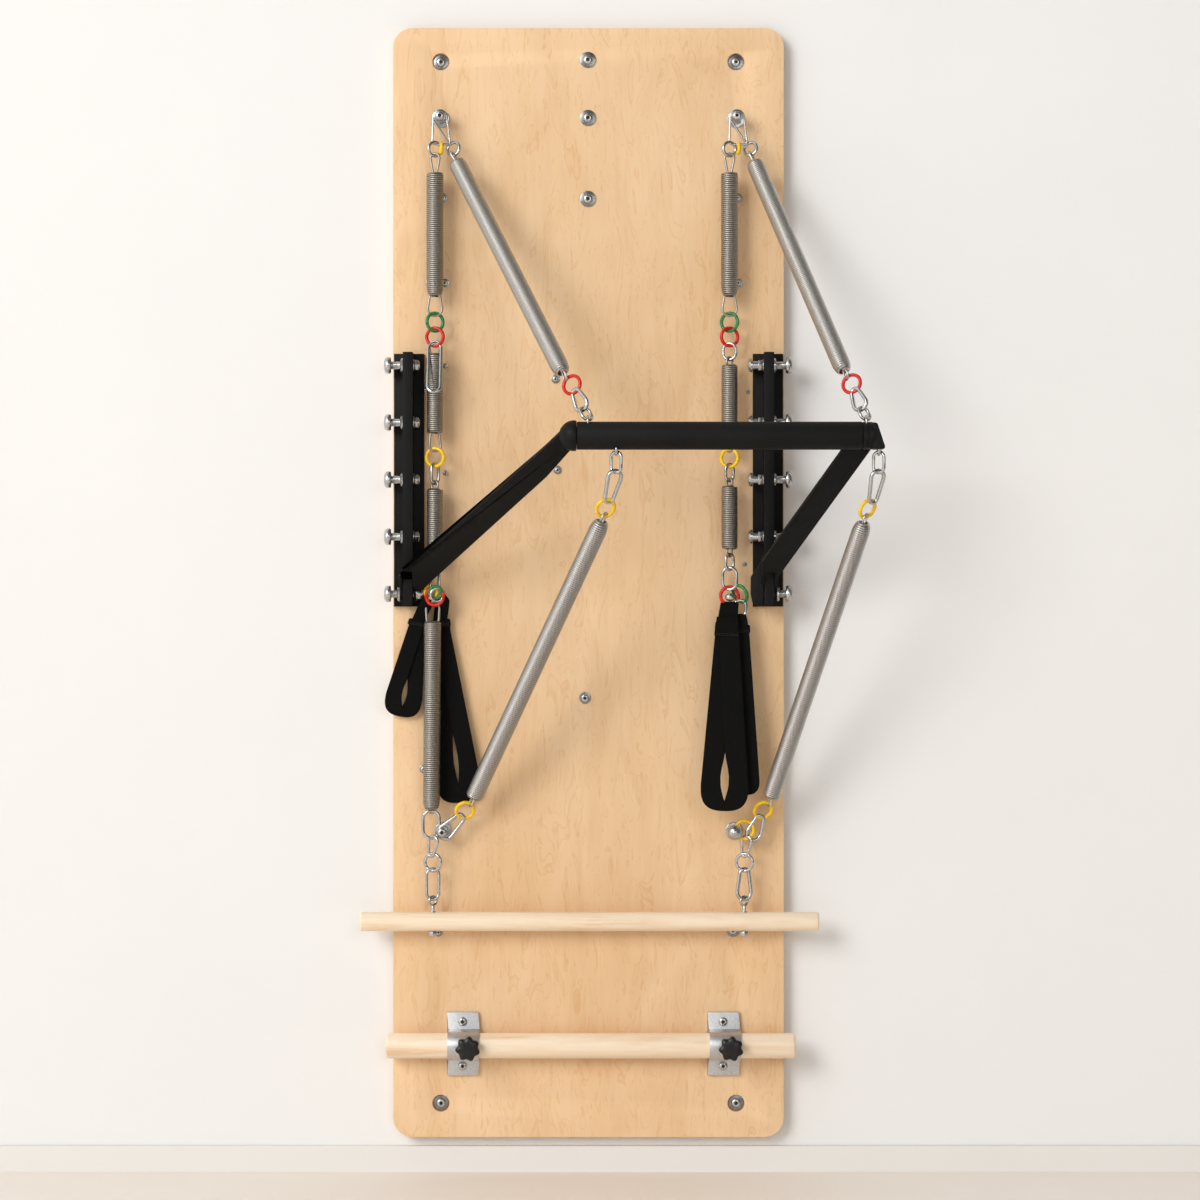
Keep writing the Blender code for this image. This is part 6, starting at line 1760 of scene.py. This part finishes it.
def make_handle(node, body, neck, lateral, shoulder_step, loop_step, halves, front_leg, cap, slit,
                neck_share):
    """halves gives half the width at the shoulder and at the turn; front_leg is +1 where the right
    leg lies in front; cap gives the cap's start and length; slit gives how far the gap rises above
    the turn's middle, how far it drops below, and half its width."""
    top_half, bottom_half = halves
    loop_step = Vector(loop_step)
    shoulder = neck + Vector(shoulder_step)
    along, across = chain_axes(loop_step, 0.0)
    normal = along.cross(across)
    length = loop_step.length

    def spot(u, v, w):
        return shoulder + across * u + along * v + normal * w

    middle = length - bottom_half
    outline = belt([(0.0, middle, bottom_half), (0.0, top_half, top_half)], TURN_POINTS)
    turn = [squared(u, v - length + bottom_half, bottom_half) for u, v in outline[:TURN_POINTS]]
    turn, top = [(u, v + length - bottom_half) for u, v in turn], outline[TURN_POINTS:]
    rise, drop, slit_half = slit
    width = bottom_half - slit_half

    def slit_at(v):
        share = min(1.0, max(0.0, (v - middle + rise) / (rise + drop)))
        return slit_half * math.sin(math.pi * share ** 1.1)

    edge = []
    for first, last, leg in ((top[-1], turn[0], -1), (turn[-1], top[0], 1)):
        steps = [tuple(start + (stop - start) * step / LEG_STEPS for start, stop in zip(first, last))
                 for step in range(LEG_STEPS + 1)]
        edge = edge + steps[:-1] + turn if leg < 0 else edge + steps[1:]
    right_now = 1.0 if edge[-1][0] > 0 else -1.0
    lapped = width - top_half
    first_edge, second_edge = [], []
    for index, (u, v) in enumerate(edge):
        share = min(1.0, max(0.0, (index - LEG_STEPS) / (len(edge) - 2 * LEG_STEPS - 1)))
        leg = right_now if index > len(edge) / 2 else -right_now
        if 0.0 < share < 1.0:
            inner_v = middle + drop * math.sin(math.pi * share)
        else:
            inner_v = v
        inner_u = leg * slit_at(inner_v)
        if inner_v < middle - rise:
            inner_u = -leg * lapped * (middle - rise - inner_v) / (middle - rise)
        ease = share * share * (3.0 - 2.0 * share) * 2.0 - 1.0
        lift = ease * right_now * front_leg * LAYER_LIFT
        curl = 0.0030 * math.sin(math.pi * share)
        first_edge.append(spot(u, v, lift - curl * 0.3))
        second_edge.append(spot(inner_u, inner_v, lift + curl))
    pieces = [webbing_strip(node + "_loop", first_edge, second_edge)]

    cap_start, cap_length = cap
    half = top_half + 0.0018
    tilt = (bottom_half - top_half) / (length - bottom_half - top_half)
    low_half = half + tilt * cap_length
    sides = []
    low = cap_start + cap_length
    for edge_side in (-1.0, 1.0):
        sides.append([spot(edge_side * half, cap_start, 0.0),
                      spot(edge_side * (half + 0.0004), cap_start + 0.004, 0.0),
                      spot(edge_side * low_half, low, 0.0)])
    pieces.append(webbing_strip(node + "_cap", sides[0], sides[1], 0.0092))
    rows = [(spot(-low_half + 0.002, low - inset, 0.0046), spot(low_half - 0.002, low - inset, 0.0046))
            for inset in (0.0022, 0.0050)]
    pieces.append(stitch_rows(node + "_stitches", rows))

    lateral = Vector(lateral).normalized()
    goal = spot(0.0, cap_start + 0.003, 0.0)
    down = (goal - neck).normalized()
    face = down.cross(lateral).normalized()
    bend = 0.0050
    arch = []
    for step in range(13):
        angle = math.pi * step / 12
        arch.append((neck + face * bend * math.cos(angle) - down * bend * math.sin(angle),
                     0.94 - 0.16 * math.sin(angle)))
    front, rear = [], []
    for share, wide in ((0.35, 0.98), (0.7, 1.0), (1.0, 1.0)):
        place, off = neck.lerp(goal, share), face * (bend + (0.0030 - bend) * share)
        front.append((place + off, wide))
        rear.append((place - off, wide))
    route = front[::-1] + arch + rear
    reach = top_half * neck_share
    neck_sides = []
    for side in (-1.0, 1.0):
        line = []
        for index, (place, wide) in enumerate(route):
            share = max(0.0, (wide - 0.78) / 0.22)
            sideways = (lateral * (1.0 - share) + across * share).normalized()
            line.append(place + sideways * side * reach * wide)
        neck_sides.append(line)
    pieces.append(webbing_strip(node + "_neck", neck_sides[0], neck_sides[1], 0.0022))
    return mounted(unite(pieces, node + "_webbing"), body, node, slot="webbing")


# %% [markdown]
# ### Where the handles hang
#
# The two left handles hang on the lowest red ring, one on each side of its bottom. The right ones
# hang on the last ring and on the rear link. Each call gives the shape that the photograph shows.

# %% Where the handles hang
NECK_ANGLE = math.radians(54.0)
NECK_RADIUS = RING_RADIUS * math.cos(math.pi / 10) + RING_WIRE


def on_cluster(angle):
    return cluster + Vector((NECK_RADIUS * math.sin(angle), 0.0, -NECK_RADIUS * math.cos(angle)))


def cluster_tangent(angle):
    return Vector((math.cos(angle), 0.0, math.sin(angle)))


make_handle("left_short_handle", "short_handle", on_cluster(-NECK_ANGLE), cluster_tangent(-NECK_ANGLE),
            shoulder_step=(-0.0175, 0.0215, -0.0313), loop_step=(-0.033, 0.0, -0.179),
            halves=(0.0150, 0.0335), front_leg=-1.0, cap=(0.002, 0.012), slit=(0.036, 0.015, 0.0044),
            neck_share=0.72)
make_handle("left_long_handle", "long_handle", on_cluster(NECK_ANGLE), cluster_tangent(NECK_ANGLE),
            shoulder_step=(-0.0065, 0.0215, -0.0313), loop_step=(0.0385, 0.0, -0.336),
            halves=(0.0165, 0.0400), front_leg=1.0, cap=(0.002, 0.014), slit=(0.088, 0.008, 0.0042),
            neck_share=0.66)
make_handle("right_front_handle", "front_handle", right[11] + DOWN * (RING_RADIUS + 0.0008), RIGHT,
            shoulder_step=(-0.0045, -0.014, -0.004), loop_step=(-0.007, -0.026, -0.368),
            halves=(0.0192, 0.0430), front_leg=1.0, cap=(0.026, 0.028), slit=(0.058, 0.025, 0.0076),
            neck_share=0.92)
make_handle("right_rear_handle", "rear_handle", rear_link_middle + DOWN * (REAR_END + 0.0008), RIGHT,
            shoulder_step=(0.0015, -0.002, -0.004), loop_step=(0.0060, -0.022, -0.318),
            halves=(0.0140, 0.0270), front_leg=1.0, cap=(0.010, 0.016), slit=(0.030, 0.008, 0.0036),
            neck_share=0.90)
print("handles made")

# %% [markdown]
# ## The roll-down bar
#
# A round dowel hangs level on two short chains. An eyebolt goes down through it near each end
# and is held by a nut below.

# %% Roll-down bar
DOWEL_RADIUS, DOWEL_LENGTH, DOWEL_SHIFT, DOWEL_Z = 0.0174, 0.834, 0.002, -0.6165
DOWEL_EYE_X, DOWEL_EYE, LEFT_CHAIN_SHIFT = 0.283, 0.008, 0.0030
EYE_Z = DOWEL_Z + DOWEL_RADIUS + DOWEL_EYE + EYE_WIRE + RUNNING + 0.0085


def wooden_bar(name, radius, length, middle):
    """A dowel along X with rounded ends."""
    left_end = [(inset - length / 2, radius * share)
                for inset, share in ((0.0, 0.80), (0.0008, 0.90), (0.0024, 0.975), (0.0050, 1.0))]
    right_end = [(-along, rim) for along, rim in reversed(left_end)]
    return stand(dressed(turned(name, left_end + right_end, 56), DOWEL_WOOD, 0.0), middle, RIGHT, UP)


dowel = wooden_bar("roll_down_dowel", DOWEL_RADIUS, DOWEL_LENGTH, (DOWEL_SHIFT, CHAIN_Y, DOWEL_Z))
mounted(dowel, "roll_down", "roll_down_bar", slot="dowel_wood")
EYE_TURN = math.radians(40.0)
EYE_FACING = (-math.sin(EYE_TURN), math.cos(EYE_TURN), 0.0)
for word, side, top_x in (("left", -1.0, LEFT_OVAL_X + LEFT_CHAIN_SHIFT), ("right", 1.0, RIGHT_RING_X)):
    across = side * DOWEL_EYE_X
    under, over = DOWEL_Z - DOWEL_RADIUS, DOWEL_Z + DOWEL_RADIUS
    pieces = [screw_eye("dowel_eye", (across, CHAIN_Y, EYE_Z), DOWEL_EYE, EYE_WIRE, EYE_FACING)]
    for part, low, high, radius, sides, finish, bevel in (
            ("dowel_shank", under - 0.010, EYE_Z - DOWEL_EYE, 0.0034, 20, ZINC, 0.0003),
            ("dowel_collar", over - 0.0006, over + 0.0010, 0.0058, 28, BOLT_STEEL, 0.0003),
            ("dowel_nut", under - GAP - 0.008, under - GAP, 0.008, 6, BOLT_STEEL, 0.0006)):
        rod = round_bar(part, (across, CHAIN_Y, low), (across, CHAIN_Y, high), radius, sides)
        pieces.append(dressed(rod, finish, bevel))
    node = "roll_down_" + word + "_eyebolt"
    mounted(unite(pieces, node + "_steel"), "roll_down", node, slot="steel")
    eye_top = EYE_Z + DOWEL_EYE - EYE_WIRE - LINK_WIRE - GAP
    chain_top = Vector((top_x, CHAIN_Y, SWING_Z))
    chain_bottom = Vector((across, CHAIN_Y, eye_top))
    heading = (chain_bottom - chain_top).normalized()
    remaining = (chain_bottom - chain_top).length - 2 * RING_RADIUS + RING_WIRE + LINK_WIRE - JOIN_DEPTH
    node = "roll_down_" + word + "_chain"
    middles = chain_middles(chain_top + heading * RING_RADIUS, heading,
                            [(node, ring_size()), (node, link_size(remaining))])
    if side < 0:
        carrier = link("roll_link", middles[1], heading, -16.0, remaining, 0.0115)
    else:
        carrier = carabiner("roll_link", middles[1], heading, -16.0, remaining, 0.0085, 0.0130)
    pieces = [ring("roll_ring", middles[0], heading, 22.0), carrier]
    mounted(unite(pieces, node + "_wire"), "roll_down", node)
print("roll-down bar made")

# %% [markdown]
# ## The foot bar, its clamps and knobs
#
# The thick lower dowel lies in two aluminium saddles. A saddle's side view, a base with an arch
# on it, is drawn as a flat outline and extruded across. Two screws hold it to the board.

# %% Foot bar and clamps
FOOT_RADIUS, FOOT_LENGTH, FOOT_SHIFT = 0.0229, 0.744, 0.004
SADDLE_SHIFT, KNOB_SHIFT, ARCH_STEPS = 0.0026, 0.012, 24
CLAMP_SPOTS = (("left", -0.230), ("right", 0.246))
CLAMP_BASE, CLAMP_WALL, CLAMP_WIDTH, CLAMP_HEIGHT = 0.008, 0.0035, 0.057, 0.115
FOOT_Z = 0.172 - BOARD_HEIGHT / 2
FOOT_Y = depth(GAP + CLAMP_BASE + GAP + FOOT_RADIUS)
CLAMP_OUTER = FOOT_RADIUS + GAP + CLAMP_WALL
mounted(wooden_bar("foot_bar_dowel", FOOT_RADIUS, FOOT_LENGTH, (FOOT_SHIFT, FOOT_Y, FOOT_Z)), "foot_rail",
        "foot_bar", slot="dowel_wood")


def make_clamp(word, across):
    back = FRONT - GAP
    half, outer = CLAMP_HEIGHT / 2, CLAMP_OUTER
    base_y = back - CLAMP_BASE
    outline = [(back, -half), (base_y, -half), (base_y, -outer), (FOOT_Y, -outer)]
    for step in range(1, ARCH_STEPS):
        angle = math.pi * step / ARCH_STEPS
        outline.append((FOOT_Y - outer * math.sin(angle), -outer * math.cos(angle)))
    outline += [(FOOT_Y, outer), (base_y, outer), (base_y, half), (back, half)]
    side_view = [(across - CLAMP_WIDTH / 2, y, FOOT_Z + up) for y, up in outline]
    clamp = plate_from(word + "_clamp_body", side_view, (CLAMP_WIDTH, 0.0, 0.0))
    cut_with(clamp, round_bar("bore", (across - CLAMP_WIDTH, FOOT_Y, FOOT_Z),
                              (across + CLAMP_WIDTH, FOOT_Y, FOOT_Z), FOOT_RADIUS + GAP, 72))
    stem = across + KNOB_SHIFT
    cut_with(clamp, round_bar("stem", (stem, FOOT_Y, FOOT_Z), (stem, FOOT_Y - 0.06, FOOT_Z), 0.0043, 24))
    pick_points(clamp, lambda co: abs(co.z - FOOT_Z) < outer + 0.001 and co.y < base_y + 0.0005)
    bpy.ops.transform.translate(value=(SADDLE_SHIFT, 0.0, 0.0))
    close_edit()
    dressed(clamp, CLAMP_METAL, 0.0010, 3)
    pieces = [clamp]
    for level in (-1.0, 1.0):
        screw = button_bolt("clamp_screw", 0.0078, 0.0038, 0.0034, 0.0082, 0.0006)
        pieces.append(stand(screw, (across, base_y, FOOT_Z + level * (half - 0.017)), OUT, RIGHT))
    return mounted(unite(pieces, word + "_clamp_metal"), "board", word + "_clamp")


print("saddles reach", round(CLAMP_OUTER, 4), "m from the dowel's axis")

# %% [markdown]
# ### Star knobs
#
# On each saddle a screw with a star knob presses on the dowel. The star is a plate whose outline
# waves in seven lobes. Its front is extruded in small steps, each narrower, into a low dome.

# %% Star knobs
KNOB_RADIUS, KNOB_LOBE, KNOB_LOBES, KNOB_THICKNESS = 0.0207, 0.0020, 7, 0.016
RIM_POINTS, STAR_TURN = 96, 0.12


def make_knob(word, across):
    spot, back = across + KNOB_SHIFT, FOOT_Y - CLAMP_OUTER - 0.006
    points = []
    for step in range(RIM_POINTS):
        angle = math.tau * step / RIM_POINTS
        radius = KNOB_RADIUS + KNOB_LOBE * math.cos(KNOB_LOBES * (angle - STAR_TURN))
        points.append(Vector((radius * math.sin(angle), radius * math.cos(angle), 0.0)))
    star = plate_from(word + "_star", points, (0.0, 0.0, KNOB_THICKNESS * 0.55))
    for rise, share in ((0.16, 0.975), (0.12, 0.90), (0.08, 0.74), (0.04, 0.55)):
        pick_faces(star, lambda co, normal: co.z > max(v.co.z for v in star.data.vertices) - 1e-5)
        bpy.ops.mesh.extrude_region_move(TRANSFORM_OT_translate={"value": (0.0, 0.0, KNOB_THICKNESS * rise)})
        bpy.ops.transform.resize(value=(share, share, 1.0))
        close_edit()
    mend_normals(star)
    dressed(star, KNOB, 0.0007, 2, 40.0)
    stand(star, (spot, back, FOOT_Z), OUT, RIGHT)
    stem = round_bar("knob_stem", (spot, FOOT_Y - FOOT_RADIUS - GAP, FOOT_Z), (spot, back - 0.004, FOOT_Z),
                     0.004, 24)
    knob = unite([star, dressed(stem, BOLT_STEEL, 0.0003)], word + "_knob_star")
    return mounted(knob, word + "_clamp_knob", word + "_knob", slot="knob_plastic")


for word, across in CLAMP_SPOTS:
    make_clamp(word, across)
    make_knob(word, across)
print("clamps and knobs made, the knobs with", KNOB_LOBES, "lobes")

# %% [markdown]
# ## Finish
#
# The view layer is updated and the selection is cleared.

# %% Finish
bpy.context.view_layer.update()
deselect_all()
